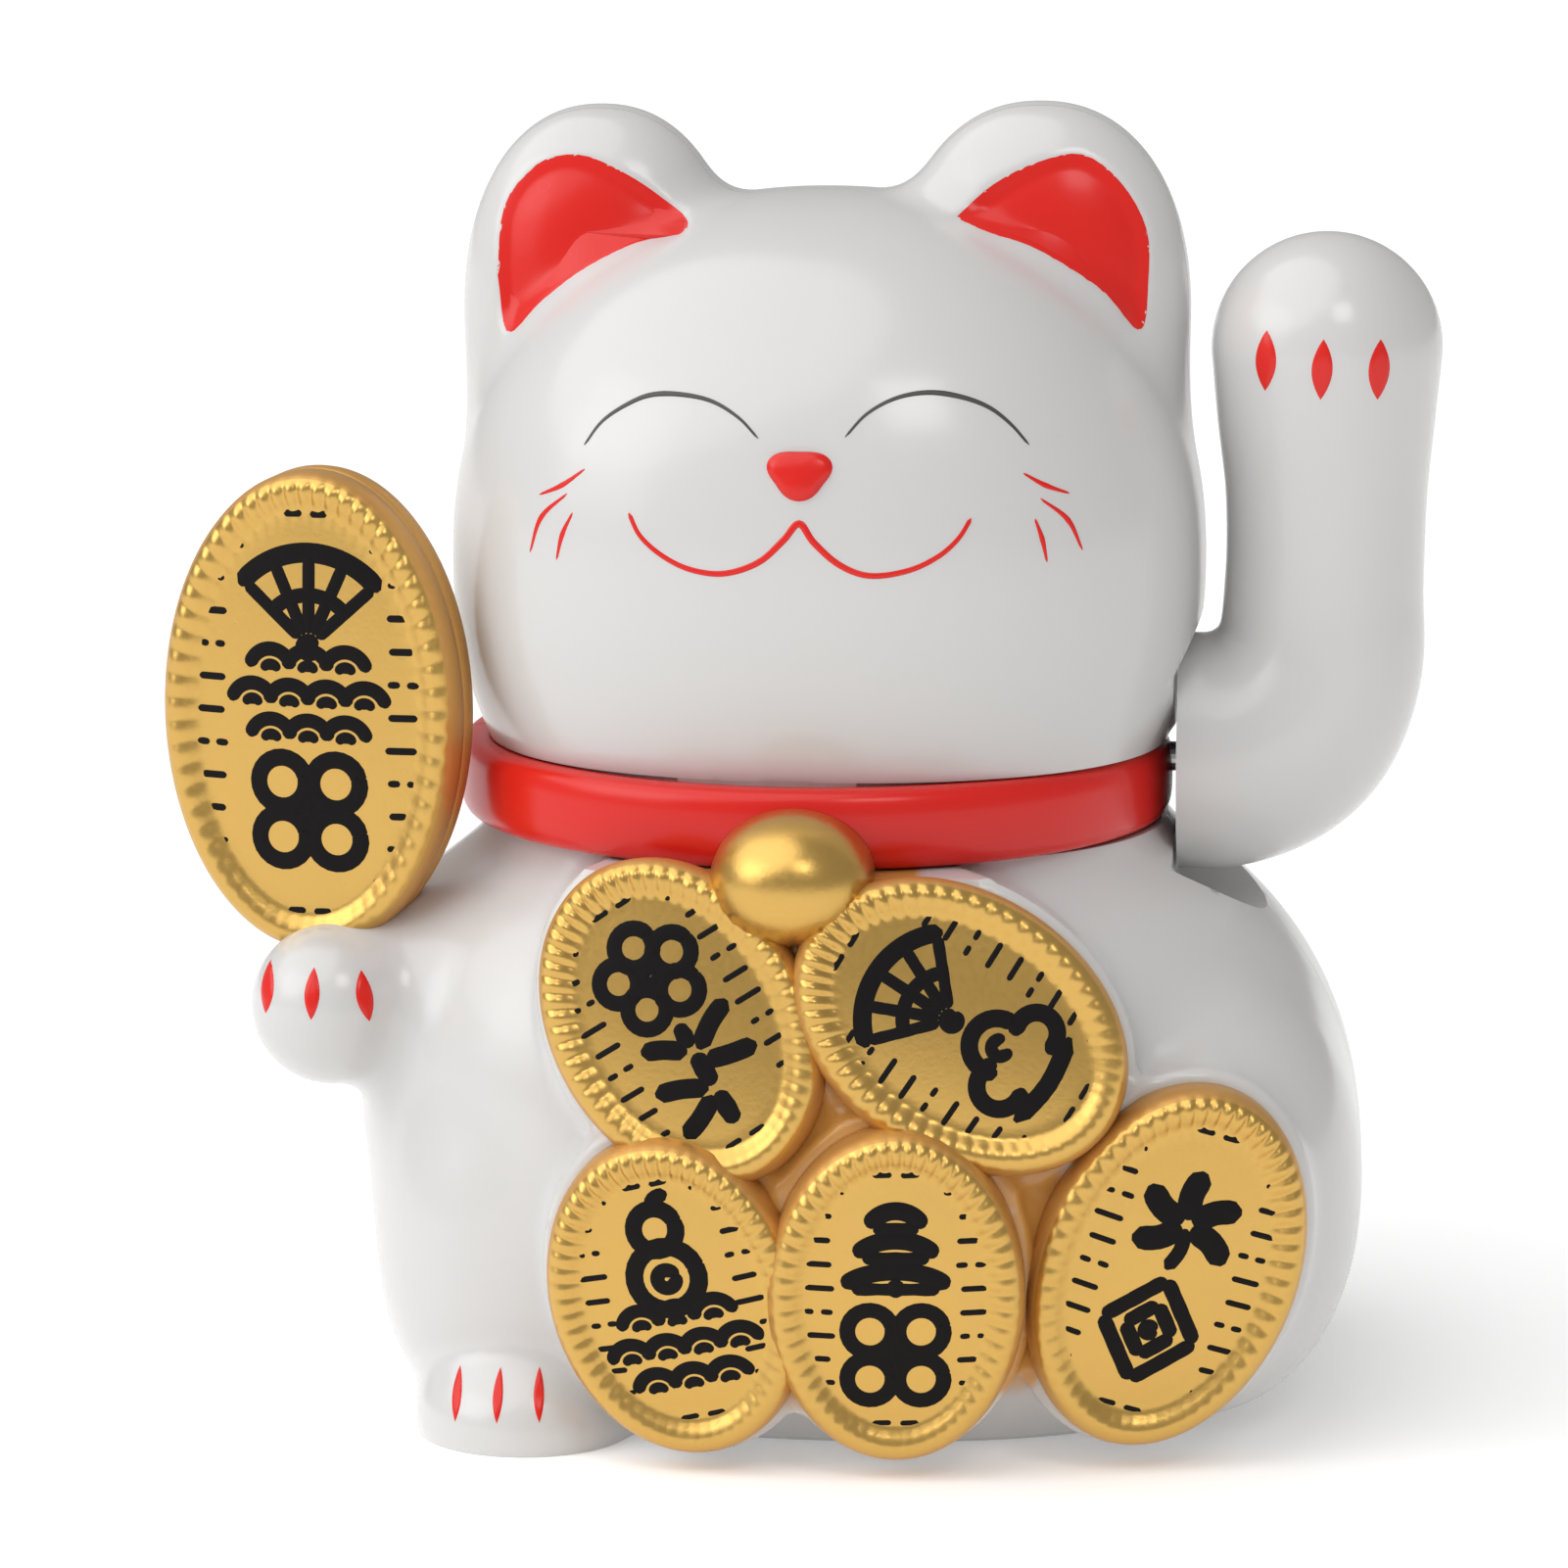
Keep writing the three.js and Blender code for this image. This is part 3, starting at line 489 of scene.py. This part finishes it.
def gilt_mask(p):
    """1 where the shell between neighbouring coins and the bell is painted gold."""
    best = np.full(p[0].shape, 9.0)
    second = np.full(p[0].shape, 9.0)
    for c in COINS.values():
        q = coin_local(p, c)
        e = (np.sqrt((q[0] / c[6]) ** 2 + (q[2] / c[7]) ** 2) - 1) * c[6] * 1.1
        d = np.where(q[1] < 9, e, 9.0)
        second = np.minimum(second, np.maximum(best, d))
        best = np.minimum(best, d)
    bell = np.sqrt((p[0] + 0.6) ** 2 + (p[2] - 49.0) ** 2) - 7.2
    pair = np.minimum(second, np.maximum(bell, best))
    reach = ramp(p[2], 4.5, 7.5) * ramp(p[0], -9, -7) * (1 - ramp(p[0], 21, 23))
    return np.where(p[1] < -20, ramp(-pair, -3.4, -2.7) * reach, 0.0)


def put_paint(obj):
    n = len(obj.data.vertices)
    co = np.empty(n * 3, np.float32)
    obj.data.vertices.foreach_get("co", co)
    att = obj.data.attributes.new("gilt", "FLOAT", "POINT")
    att.data.foreach_set("value", gilt_mask(co.reshape(-1, 3).T.astype(float) / MM).astype(np.float32))


def shell(name, sign):
    parts = [outside, lambda p: -p[2], lambda p: sign * p[1] + SEAM, lambda p: -groove(p, 0),
             lambda p: -pocket(p, 0), lambda p: -inside(p)]
    if sign > 0:
        lo, hi = (-50.5, -45, -1.5), (48.5, 1.2, 111)
    else:
        lo, hi = (-41.5, -1.2, -1.5), (48.5, 42.5, 111)
    pts, quads = nets(parts, lo, hi, STEP)
    obj = mesh_object(name, pts, quads)
    put_paint(obj)
    obj.data.materials.append(M_WHITE)
    return obj


finish_piece(shell("front_body", 1), "body", "white_plastic", "front_shell")
finish_piece(shell("rear_body", -1), "body", "white_plastic", "rear_shell")


# ------------------------------------------------------------------ waving arm
def arm_form(p):
    return worm(p, ARM, 64)


def arm_hollow(p):
    d = worm(p, [(x, y, z, r - ARM_WALL) for x, y, z, r in ARM], 30)
    d = np.maximum(d, ARM_X + ARM_WALL - p[0])
    hub = np.maximum(np.sqrt(p[1] ** 2 + (p[2] - AXLE_Z) ** 2) - HUB_R, p[0] - HUB_X)
    return np.maximum(d, -hub)


def bore(p):
    return np.maximum(np.sqrt(p[1] ** 2 + (p[2] - AXLE_Z) ** 2) - BORE_R, p[0] - BORE_X)


for name, sign, node in (("arm_front", 1, "arm_front_half"), ("arm_rear", -1, "arm_rear_half")):
    parts = [arm_form, lambda p: ARM_X - p[0], lambda p, s=sign: s * p[1] + ARM_SEAM,
             lambda p: -arm_hollow(p), lambda p: -bore(p)]
    lo = (29, -10.8 if sign > 0 else -1, 43.5)
    hi = (52.6, 1 if sign > 0 else 10.8, 100)
    pts, quads = nets(parts, lo, hi, STEP * 0.8)
    arm = mesh_object(name, pts, quads)
    arm.data.materials.append(M_WHITE)
    finish_piece(arm, "arm", "white_plastic", node)


# ------------------------------------------------------------------ forms that lie on a surface
def front_y(fn, x, z, near=-48.0, far=0.0):
    """First y where the form begins, looking from the front."""
    ys = np.linspace(near, far, 33)
    v = fn((np.tile(x, 33), np.repeat(ys, len(x)), np.tile(z, 33))).reshape(33, -1)
    k = np.maximum(np.argmax(v < 0, 0), 1)
    a, b = ys[k - 1], ys[k]
    for _ in range(14):
        m = (a + b) / 2
        neg = fn((x, m, z)) < 0
        b = np.where(neg, m, b)
        a = np.where(neg, a, m)
    return b


def surface_map(fn, near=-48.0, far=0.0):
    """(u, v, lift) to a point above the form's front."""
    def place(uv, lift):
        uv = np.asarray(uv, float)
        x, z = uv[:, 0], uv[:, 1]
        y = front_y(fn, x, z, near, far)
        p = np.stack([x, y, z])
        f = fn(p)
        n = np.stack([fn(p + np.eye(3)[:, [k]] * 0.15) - f for k in range(3)], 1)
        n /= np.linalg.norm(n, axis=1)[:, None]
        return p.T + n * np.asarray(lift)[:, None]
    return place


def stroke(mesh, place, line, width, lift=0.07, steps=24, taper=(1, 1), sink=-0.12):
    """Raised printed line with soft edges; width may swell from its ends by taper."""
    if len(line) > 2:
        c = smooth_path(line, steps)
    else:
        t = np.array([0, 0.02, 0.06, 0.14, 0.5, 0.86, 0.94, 0.98, 1])[:, None]
        c = np.array(line[0], float) * (1 - t) + np.array(line[1], float) * t
    n = len(c)
    d = np.gradient(c, axis=0) if len(line) > 2 else np.repeat([c[-1] - c[0]], len(c), 0)
    d /= np.linalg.norm(d, axis=1)[:, None]
    side = np.stack([-d[:, 1], d[:, 0]], 1)
    t = np.linspace(0, 1, n)
    length = np.concatenate([[0], np.cumsum(np.linalg.norm(np.diff(c, axis=0), axis=1))])
    w = width * (taper[0] + (1 - taper[0]) * np.minimum(1, 2 * t)) if taper[0] < 1 else np.full(n, width)
    w = np.where(t > 0.5, width * (taper[1] + (1 - taper[1]) * np.minimum(1, 2 * (1 - t))), w)
    ends = [w[0] / 2, w[-1] / 2]
    w = w * np.sqrt(np.clip(1 - np.clip(1 - length / max(ends[0], 1e-3), 0, 1) ** 2, 0.06, 1))
    w = w * np.sqrt(np.clip(1 - np.clip(1 - (length[-1] - length) / max(ends[1], 1e-3), 0, 1) ** 2, 0.06, 1))
    prof = [(-1, sink), (-1, 0.0), (-0.72, 0.8), (0, 1.0), (0.72, 0.8), (1, 0.0), (1, sink)]
    uv = np.concatenate([c + side * (w / 2 * s)[:, None] for s, h in prof])
    up = np.concatenate([np.full(n, h if h < 0 else h * lift) for s, h in prof])
    cols = place(uv, up).reshape(len(prof), n, 3)
    rings = [[cols[k][i] for k in range(len(prof))] for i in range(n)]
    mesh.rings(rings[::-1])


def patch(mesh, place, outline, lift, rings=7, sink=-0.15, crown=0.0):
    """Filled raised shape with a rounded edge."""
    o = np.array(outline, float)
    mid = o.mean(0)
    levels = []
    for k in range(rings + 1):
        s = k / rings
        h = lift + crown * (1 - s * s)
        if s > 0.8:
            h *= math.sqrt(max(0.0, 1 - ((s - 0.8) / 0.2) ** 2))
        levels.append(place(mid + (o - mid) * max(s, 0.02), np.full(len(o), h)))
    levels.append(place(o, np.full(len(o), sink)))
    rows = [[q for q in lv] for lv in levels]
    area = sum(o[i - 1][0] * o[i][1] - o[i][0] * o[i - 1][1] for i in range(len(o)))
    if area > 0:
        rows = [r[::-1] for r in rows]
    mesh.rings(rows[::-1])


on_skin = surface_map(outside)
face_black, face_red = Mesh(), Mesh()
EYES = [[(-18.5, 83.3), (-17.1, 85.2), (-15.2, 86.6), (-13.0, 87.6), (-10.5, 87.8), (-7.8, 87.4),
         (-5.5, 86.2), (-3.8, 84.6)],
        [(3.3, 84.8), (5.0, 86.6), (7.3, 87.8), (9.9, 88.2), (12.5, 87.8), (14.8, 86.9), (16.6, 85.5),
         (18.1, 83.8)]]
for e in EYES:
    stroke(face_black, on_skin, e, 0.42, 0.06, 40, (0.45, 0.45))
WHISKERS = [[(-22.4, 78.9), (-20.4, 79.9), (-18.4, 81.4)], [(-23.2, 74.1), (-22.2, 77.1), (-19.9, 79.3)],
            [(-20.8, 73.8), (-20.3, 75.9), (-19.4, 77.8)], [(17.7, 81.6), (19.5, 80.5), (21.4, 79.7)],
            [(19.1, 79.5), (21.3, 77.6), (22.5, 75.0)], [(18.7, 77.9), (19.3, 76.2), (19.7, 74.3)]]
for w in WHISKERS:
    stroke(face_red, on_skin, w, 0.42, 0.05, 16, (0.4, 0.4))
MOUTH = [(-14.5, 78.2), (-13.5, 76.4), (-11.6, 74.9), (-9.2, 73.9), (-6.4, 73.7), (-3.6, 74.7), (-1.6, 76.5),
         (-0.3, 77.9), (0.9, 76.4), (3.0, 74.6), (5.5, 73.7), (8.6, 74.1), (11.0, 75.2), (12.6, 76.6),
         (13.6, 78.2)]
stroke(face_red, on_skin, MOUTH, 0.6, 0.08, 90, (0.6, 0.6))
nose = []
for k in range(48):
    a = k / 48 * 2 * pi
    r = 2.3 + 0.28 * math.cos(3 * (a + pi / 2))
    nose.append((-0.35 + r * 1.12 * math.cos(a), 81.9 + r * 0.86 * math.sin(a)))
patch(face_red, on_skin, nose, 0.3, crown=0.35)
finish_piece(face_black.make("eyes", [M_LINE]), "body", "black_plastic")
finish_piece(face_red.make("nose_mouth_whiskers", [M_RED]), "body", "red_paint")

# red hollows of the ears
ears = Mesh()
for outline in (EAR_L, EAR_R):
    patch(ears, on_skin, outline, 0.06, rings=16, sink=-0.12)
finish_piece(ears.make("ear_hollows", [M_RED]), "body", "red_paint")


# claws on the raised paw, the coin paw and the foot
def leaf(mesh, place, x, z, length, width, lean):
    """Spindle-shaped claw, pointed at both ends."""
    edge = []
    for side in (1, -1):
        for k in range(13):
            t = k / 12 if side > 0 else 1 - k / 12
            if side < 0 and k in (0, 12):
                continue
            a = pi * t
            u = side * width / 2 * math.sin(a) ** 0.85
            v = (0.5 - t) * length
            edge.append((x + u + lean * v / length, z + v))
    patch(mesh, place, edge, 0.1, rings=4, sink=-0.1)


claws = Mesh()
on_arm = surface_map(arm_form, -14, 0)
for x, z, lean in CLAWS_ARM:
    leaf(claws, on_arm, x, z, 5.1, 1.75, lean)
finish_piece(claws.make("arm_claws", [M_RED]), "arm", "red_paint")
claws = Mesh()
for x, z, lean in CLAWS_PAW:
    leaf(claws, on_skin, x, z, 4.2, 1.3, lean)
for x, z, lean in CLAWS_FOOT:
    leaf(claws, on_skin, x, z, 4.1, 0.85, lean)
finish_piece(claws.make("paw_claws", [M_RED]), "body", "red_paint")


# ------------------------------------------------------------------ coins
PER_FLUTE = 8
CREST = 1.8  # height of the fluted crest over the side wall, before scaling to the coin's thickness
FACE = 1.07  # height of the face's edge over the side wall, the same way
RIM = 3.5  # width of the rim from the outline to the face


def coin_profile(hw, hh, t, flutes, wall):
    """Rings from the back over the fluted shoulder to the crowned face, their slots and the face height."""
    n = flutes * PER_FLUTE
    ang = np.arange(n) / n * 2 * pi
    ca, sa = np.cos(ang), np.sin(ang)
    ridge = (0.5 + 0.5 * np.cos(ang * flutes)) ** 0.7
    rows = [  # inset from the outline, depth, strength of the flutes
        (0.35, 0.0, 0.0), (0.0, 0.35, 0.0), (0.0, wall, 0.0), (0.16, wall + 0.75, 0.0),
        (0.5, wall + 1.3, 0.12), (0.95, wall + 1.66, 0.5), (1.4, wall + CREST, 0.9), (1.9, wall + 1.74, 1.0),
        (2.4, wall + 1.5, 1.0), (2.85, wall + 1.22, 0.6), (3.2, wall + 1.1, 0.15), (RIM, wall + FACE, 0.0)]
    rings = []
    for inset, depth, k in rows:
        fade = 0.55 + 0.45 * sa
        lower = 0.36 * k * (1 - ridge) * fade
        rings.append(np.stack([(hw - inset - lower * 0.5) * ca, -(depth * t / (wall + CREST) - lower),
                               (hh - inset - lower * 0.5) * sa], 1))

    def height(u, v):
        e = np.sqrt((u / (hw - RIM)) ** 2 + (v / (hh - RIM)) ** 2)
        return (wall + FACE) * t / (wall + CREST) + 0.5 * (1 - np.clip(e, 0, 1) ** 2)
    for s in (0.93, 0.8, 0.62, 0.42, 0.22, 0.06):
        u, v = (hw - RIM) * s * ca, (hh - RIM) * s * sa
        rings.append(np.stack([u, -height(u, v), v], 1))
    slots = [1, 1, 1, 1] + [0] * (len(rings) - 5)
    return rings, slots, height


def ring_line(cx, cy, r, a0=0, a1=360, n=14, ry=None):
    out = []
    for k in range(n + 1):
        a = math.radians(a0 + (a1 - a0) * k / n)
        out.append((cx + r * math.cos(a), cy + (ry or r) * math.sin(a)))
    return out


def motif(kind):
    """Bold generic ornament in a box about 6 wide and 6 high: list of (line, width)."""
    s = []
    if kind == "blossom":
        for k in range(5):
            a = math.radians(90 + 72 * k)
            s.append((ring_line(1.75 * math.cos(a), 1.75 * math.sin(a), 1.05), 0.85))
        s.append((ring_line(0, 0, 0.35), 0.7))
    elif kind == "waves":
        for row, y in enumerate((1.6, -0.2, -2.0)):
            for k in range(-1 - row % 2, 2):
                cx = k * 2.0 + (1.0 if row % 2 else 0)
                s.append((ring_line(cx, y, 1.15, 8, 172, 10), 0.75))
                s.append((ring_line(cx, y, 0.35, 0, 180, 6), 0.6))
    elif kind == "fan":
        s.append((ring_line(0, -2.2, 4.6, 38, 142), 1.0))
        s.append((ring_line(0, -2.2, 2.5, 42, 138), 0.75))
        for a in (42, 66, 90, 114, 138):
            c, d = math.cos(math.radians(a)), math.sin(math.radians(a))
            s.append(([(0.6 * c, -2.2 + 0.6 * d), (4.4 * c, -2.2 + 4.4 * d)], 0.65))
        s.append((ring_line(0, -2.3, 0.3), 0.8))
    elif kind == "bamboo":
        s += [([(0, -3), (0, -1.1)], 1.1), ([(0, -0.7), (0, 1.2)], 1.1), ([(0, 1.6), (0, 3)], 1.0)]
        for sx, y, dx, dy in ((1, 1.3, 2.6, 1.5), (1, 0.6, 2.8, -0.6), (-1, -0.7, 2.7, 1.1),
                              (-1, -1.2, 2.5, -1.1), (-1, 1.5, 2.2, 1.2)):
            tip = (sx * (0.3 + dx), y + dy)
            s.append(([(sx * 0.3, y), (sx * (0.3 + dx * 0.5), y + dy * 0.62), tip], 1.05))
    elif kind == "cloud":
        s.append((ring_line(-1.5, -0.2, 1.2, 40, 300), 0.95))
        s.append((ring_line(0.2, 1.1, 1.45, -10, 215), 0.95))
        s.append((ring_line(1.9, -0.3, 1.1, -120, 130), 0.95))
        s.append((ring_line(0.2, 0.9, 0.45, 0, 300), 0.7))
        s.append(([(-2.6, -1.9), (0, -2.3), (2.7, -1.9)], 1.0))
    elif kind == "gourd":
        s.append((ring_line(0, 1.35, 1.15), 0.95))
        s.append((ring_line(0, -1.35, 1.75), 1.0))
        s.append(([(0, 2.4), (0.3, 3.0), (1.1, 3.2)], 0.8))
        s.append(([(-1.2, 0.3), (0, 0.15), (1.2, 0.3)], 0.8))
        s.append((ring_line(0, -1.4, 0.5), 0.8))
    elif kind == "knot":
        for sx, sy in ((1, 1), (-1, 1), (-1, -1), (1, -1)):
            s.append((ring_line(sx * 1.35, sy * 1.35, 1.2), 0.85))
        s.append(([(-2.2, 0), (2.2, 0)], 0.75))
        s.append(([(0, -2.2), (0, 2.2)], 0.75))
    elif kind == "pine":
        for y, w in ((1.7, 1.5), (0.1, 2.2), (-1.6, 2.9)):
            s.append((ring_line(0, y - 0.9, w, 18, 162, 12, 1.35), 1.0))
            s.append(([(-w * 0.8, y - 0.55), (w * 0.8, y - 0.55)], 0.75))
        s.append(([(0, -2.6), (0, -1.6)], 1.1))
    elif kind == "lozenge":
        for r, w in ((2.9, 0.85), (1.5, 0.85)):
            for k in range(4):
                ends = [math.radians(90 * k), math.radians(90 * k + 90)]
                s.append(([(r * 0.9 * math.cos(a), r * math.sin(a)) for a in ends], w))
        s.append((ring_line(0, 0, 0.25), 0.7))
    elif kind == "leaves":
        for a in (90, 150, 30, 210, -30):
            c, d = math.cos(math.radians(a)), math.sin(math.radians(a))
            bend = (1.6 * c - 0.3 * d, 1.6 * d - 0.4 + 0.3 * c)
            s.append(([(0.3 * c, 0.3 * d - 0.4), bend, (3.0 * c, 3.0 * d - 0.4)], 1.35))
        s.append(([(0, -0.6), (0.1, -1.8), (-0.3, -3)], 0.8))
    return s


INK = 0.045  # thickness of the print
INK_SINK = -0.1


def print_on(mesh, place, kind, cx, cy, size):
    for line, w in motif(kind):
        pts = [(cx + x * size, cy + y * size) for x, y in line]
        closed = math.dist(pts[0], pts[-1]) < 1e-6
        if closed:
            pts = pts + [pts[1]]
        stroke(mesh, place, pts, w * size, INK, 8 if len(pts) < 4 else 26, sink=INK_SINK)


def dashes(mesh, place, hw, hh, rows, pitch, inner, outer, width, seed):
    rng = np.random.default_rng(seed)
    for k in range(rows):
        v = (k - (rows - 1) / 2) * pitch
        reach = (hw - 2.7) * math.sqrt(max(0, 1 - (v / (hh - 2.2)) ** 2))
        stop = min(outer, reach)
        for s in (-1, 1):
            start = min(inner, stop - 1.2)
            a, b = start + rng.uniform(0, 0.45), stop - rng.uniform(0, 0.35)
            if (k + (s > 0)) % 3 == 1 and b - a > 1.9:
                m = (a + b) / 2
                spans = [(a, m - 0.3), (m + 0.3, b)]
            else:
                spans = [(a, b)]
            for p, q in spans:
                stroke(mesh, place, [(s * p, v), (s * q, v + 0.03)], width, INK, 12, sink=INK_SINK)
    for s in (-1, 1):
        v = s * (hh - 3.5)
        for p, q in ((-1.9, -0.35), (0.4, 1.9)):
            stroke(mesh, place, [(p, v), (q, v + 0.05)], width, INK, 12, sink=INK_SINK)


def build_coin(name, node, hw, hh, t, flutes, wall, place3, prints=(), seed=0, rows=0, pitch=0, inner=0,
               outer=0, width=0.5):
    """One coin; with prints it also gets ornaments (kind, x, y, size) and dashes along both sides."""
    rings, slots, height = coin_profile(hw, hh, t, flutes, wall)
    rings = [place3(r) for r in rings]
    m = Mesh()
    m.rings([list(r) for r in rings], slots)
    coin = m.make(name, [M_GOLD, M_EDGE], 60)
    finish_piece(coin, "body", "gold_paint", node)
    if not prints:
        return

    def on_face(uv, lift):
        uv = np.asarray(uv, float)
        p = np.stack([uv[:, 0], -height(uv[:, 0], uv[:, 1]) - np.asarray(lift), uv[:, 1]], 1)
        return place3(p)
    ink = Mesh()
    for kind, cx, cy, size in prints:
        print_on(ink, on_face, kind, cx, cy, size)
    dashes(ink, on_face, hw, hh, rows, pitch, inner, outer, width, seed)
    finish_piece(ink.make(name + "_print", [M_PRINT]), "body", "black_plastic")


PRINTS = {
    "belly_coin_upper_left": ("blossom", "bamboo"), "belly_coin_upper_right": ("fan", "cloud"),
    "belly_coin_lower_left": ("gourd", "waves"), "belly_coin_lower_middle": ("pine", "knot"),
    "belly_coin_lower_right": ("leaves", "lozenge"),
}
for i, (node, c) in enumerate(COINS.items()):
    turn, at = coin_turn(*c[3:6]), np.array(c[:3], float)

    def into(p, turn=turn, at=at):
        return np.asarray(p) @ turn.T + at
    a, b = PRINTS[node]
    build_coin(node.replace("belly_coin", "coin"), node, c[6], c[7], COIN_T, 56, 1.7, into,
               [(a, 0, c[7] * 0.31, 1.55), (b, 0, -c[7] * 0.33, 1.55)], 10 + i, 10, 2.05, 4.9, 7.7)

HELD_TURN = rot("z", HELD_YAW)
HELD_GAP = 0.06  # each half stands this far from the parting plane


def into_front(p):
    return (np.asarray(p) + np.array([0, -HELD_GAP, 0])) @ HELD_TURN.T + np.array(HELD_AT)


def into_rear(p):
    turned = np.asarray(p) * np.array([-1, -1, 1]) + np.array([0, HELD_GAP, 0])
    return turned @ HELD_TURN.T + np.array(HELD_AT)


build_coin("coin_in_paw", "held_coin_front", HELD_HW, HELD_HH, HELD_T, 60, 1.3, into_front,
           [("fan", 0.3, 9.6, 1.7), ("waves", 0.2, 0.9, 1.65), ("knot", 0.2, -8.2, 1.75)],
           31, 11, 2.8, 6.9, 9.9, 0.62)
build_coin("coin_in_paw_back", "held_coin_rear", HELD_HW, HELD_HH, HELD_T, 60, 1.3, into_rear)


# ------------------------------------------------------------------ collar and bell
def collar(name, node, a0, a1):
    prof = []
    for k in range(28):
        a = k / 28 * 2 * pi
        c, s = math.cos(a), math.sin(a)
        prof.append((math.copysign(abs(c) ** 0.55, c), math.copysign(abs(s) ** 0.62, s)))
    rings = []
    for i in range(97):
        t = math.radians(a0 + (a1 - a0) * i / 96)
        ring = []
        for c, s in prof:
            d = BAND / 2 + c * (BAND / 2 - 0.06)
            x = COLLAR_X + (NECK[0] + d) * math.cos(t)
            ring.append((x, (NECK[1] + d) * math.sin(t), COLLAR_Z + s * COLLAR_H / 2))
        rings.append(ring)
    m = Mesh()
    m.rings([r[::-1] for r in rings])
    finish_piece(m.make(name, [M_RED], 50), "body", "red_paint", node)


collar("collar_band_front", "collar_front", 180.15, 359.85)
collar("collar_band_rear", "collar_rear", 0.15, 179.85)

lo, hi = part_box("bell")
bell_c = np.array([(lo[0] + hi[0]) / 2, lo[1] + (hi[0] - lo[0]) / 2, (lo[2] + hi[2]) / 2]) / MM
bell_r = (hi[0] - lo[0]) / 2 / MM
bell_rz = (hi[2] - lo[2]) / 2 / MM
rows = [(bell_r, 2.3)]
for k in range(31):
    a = k / 30 * pi / 2
    rows.append((bell_r * math.cos(a) ** 0.94 if k < 30 else 0.02, -bell_r * math.sin(a)))
turns = [j / 64 * 2 * pi for j in range(64)]
rings = [[(bell_c[0] + r * math.cos(a), bell_c[1] + y, bell_c[2] + r * bell_rz / bell_r * math.sin(a))
          for a in turns] for r, y in rows]
m = Mesh()
m.rings(rings)
finish_piece(m.make("collar_bell", [M_GOLD]), "body", "gold_paint", "bell")

# ------------------------------------------------------------------ studio
scene = bpy.context.scene
world = bpy.data.worlds.new("studio")
scene.world = world
world.use_nodes = True
world.node_tree.nodes["Background"].inputs["Color"].default_value = (1, 1, 1, 1)
world.node_tree.nodes["Background"].inputs["Strength"].default_value = 0.37
scene.view_settings.view_transform = "Standard"
scene.view_settings.look = "None"

FLOOR_HALF, FLOOR_Z = 4000, -0.02
FLOOR_GLOW = 0.2  # keeps the paper white under the soft light
corners = [(x * FLOOR_HALF, y * FLOOR_HALF, FLOOR_Z) for x, y in ((-1, -1), (1, -1), (1, 1), (-1, 1))]
floor = mesh_object("floor", corners, [(0, 1, 2, 3)], False)
floor.data.materials.append(node_mat("paper_floor", (0.98, 0.98, 0.98), 0.8, tint=0.003, rough_var=0.02,
                                     spec=0.2))
for node in floor.data.materials[0].node_tree.nodes:
    if node.type == "BSDF_PRINCIPLED":
        node.inputs["Emission Color"].default_value = (1, 1, 1, 1)
        node.inputs["Emission Strength"].default_value = FLOOR_GLOW


def softbox(name, at, aim, size, power):
    data = bpy.data.lights.new(name, "AREA")
    data.shape = "RECTANGLE"
    data.size, data.size_y = size
    data.energy = power
    obj = bpy.data.objects.new(name, data)
    obj.location = at
    obj.rotation_euler = (Vector(aim) - Vector(at)).to_track_quat("-Z", "Y").to_euler()
    scene.collection.objects.link(obj)


softbox("key", (0.26, -0.60, 0.66), (0, 0, 0.06), (0.26, 0.26), 0.92)
softbox("fill", (-0.75, -0.45, 0.45), (0, 0, 0.05), (0.6, 0.6), 1.35)
sky = bpy.data.lights.new("sky", "SUN")
sky.energy = 2.06
sky.angle = math.radians(80)
sky_obj = bpy.data.objects.new("sky", sky)
sky_obj.rotation_euler = (math.radians(14), math.radians(-32), 0)
scene.collection.objects.link(sky_obj)

EYE_AZ, EYE_EL, EYE_D = math.radians(5), math.radians(11), 0.7
FRAME_W = 1601 * 0.0836 * MM
aim = Vector((-0.0039, 0, 0.0510))
cam_data = bpy.data.cameras.new("camera")
cam = bpy.data.objects.new("camera", cam_data)
way = Vector((math.sin(EYE_AZ) * math.cos(EYE_EL), -math.cos(EYE_AZ) * math.cos(EYE_EL), math.sin(EYE_EL)))
cam.location = aim + way * EYE_D
cam.rotation_euler = (-way).to_track_quat("-Z", "Y").to_euler()
cam_data.sensor_width = 36
cam_data.lens = 36 * EYE_D / FRAME_W
cam_data.clip_start = 0.01
scene.collection.objects.link(cam)
scene.camera = cam
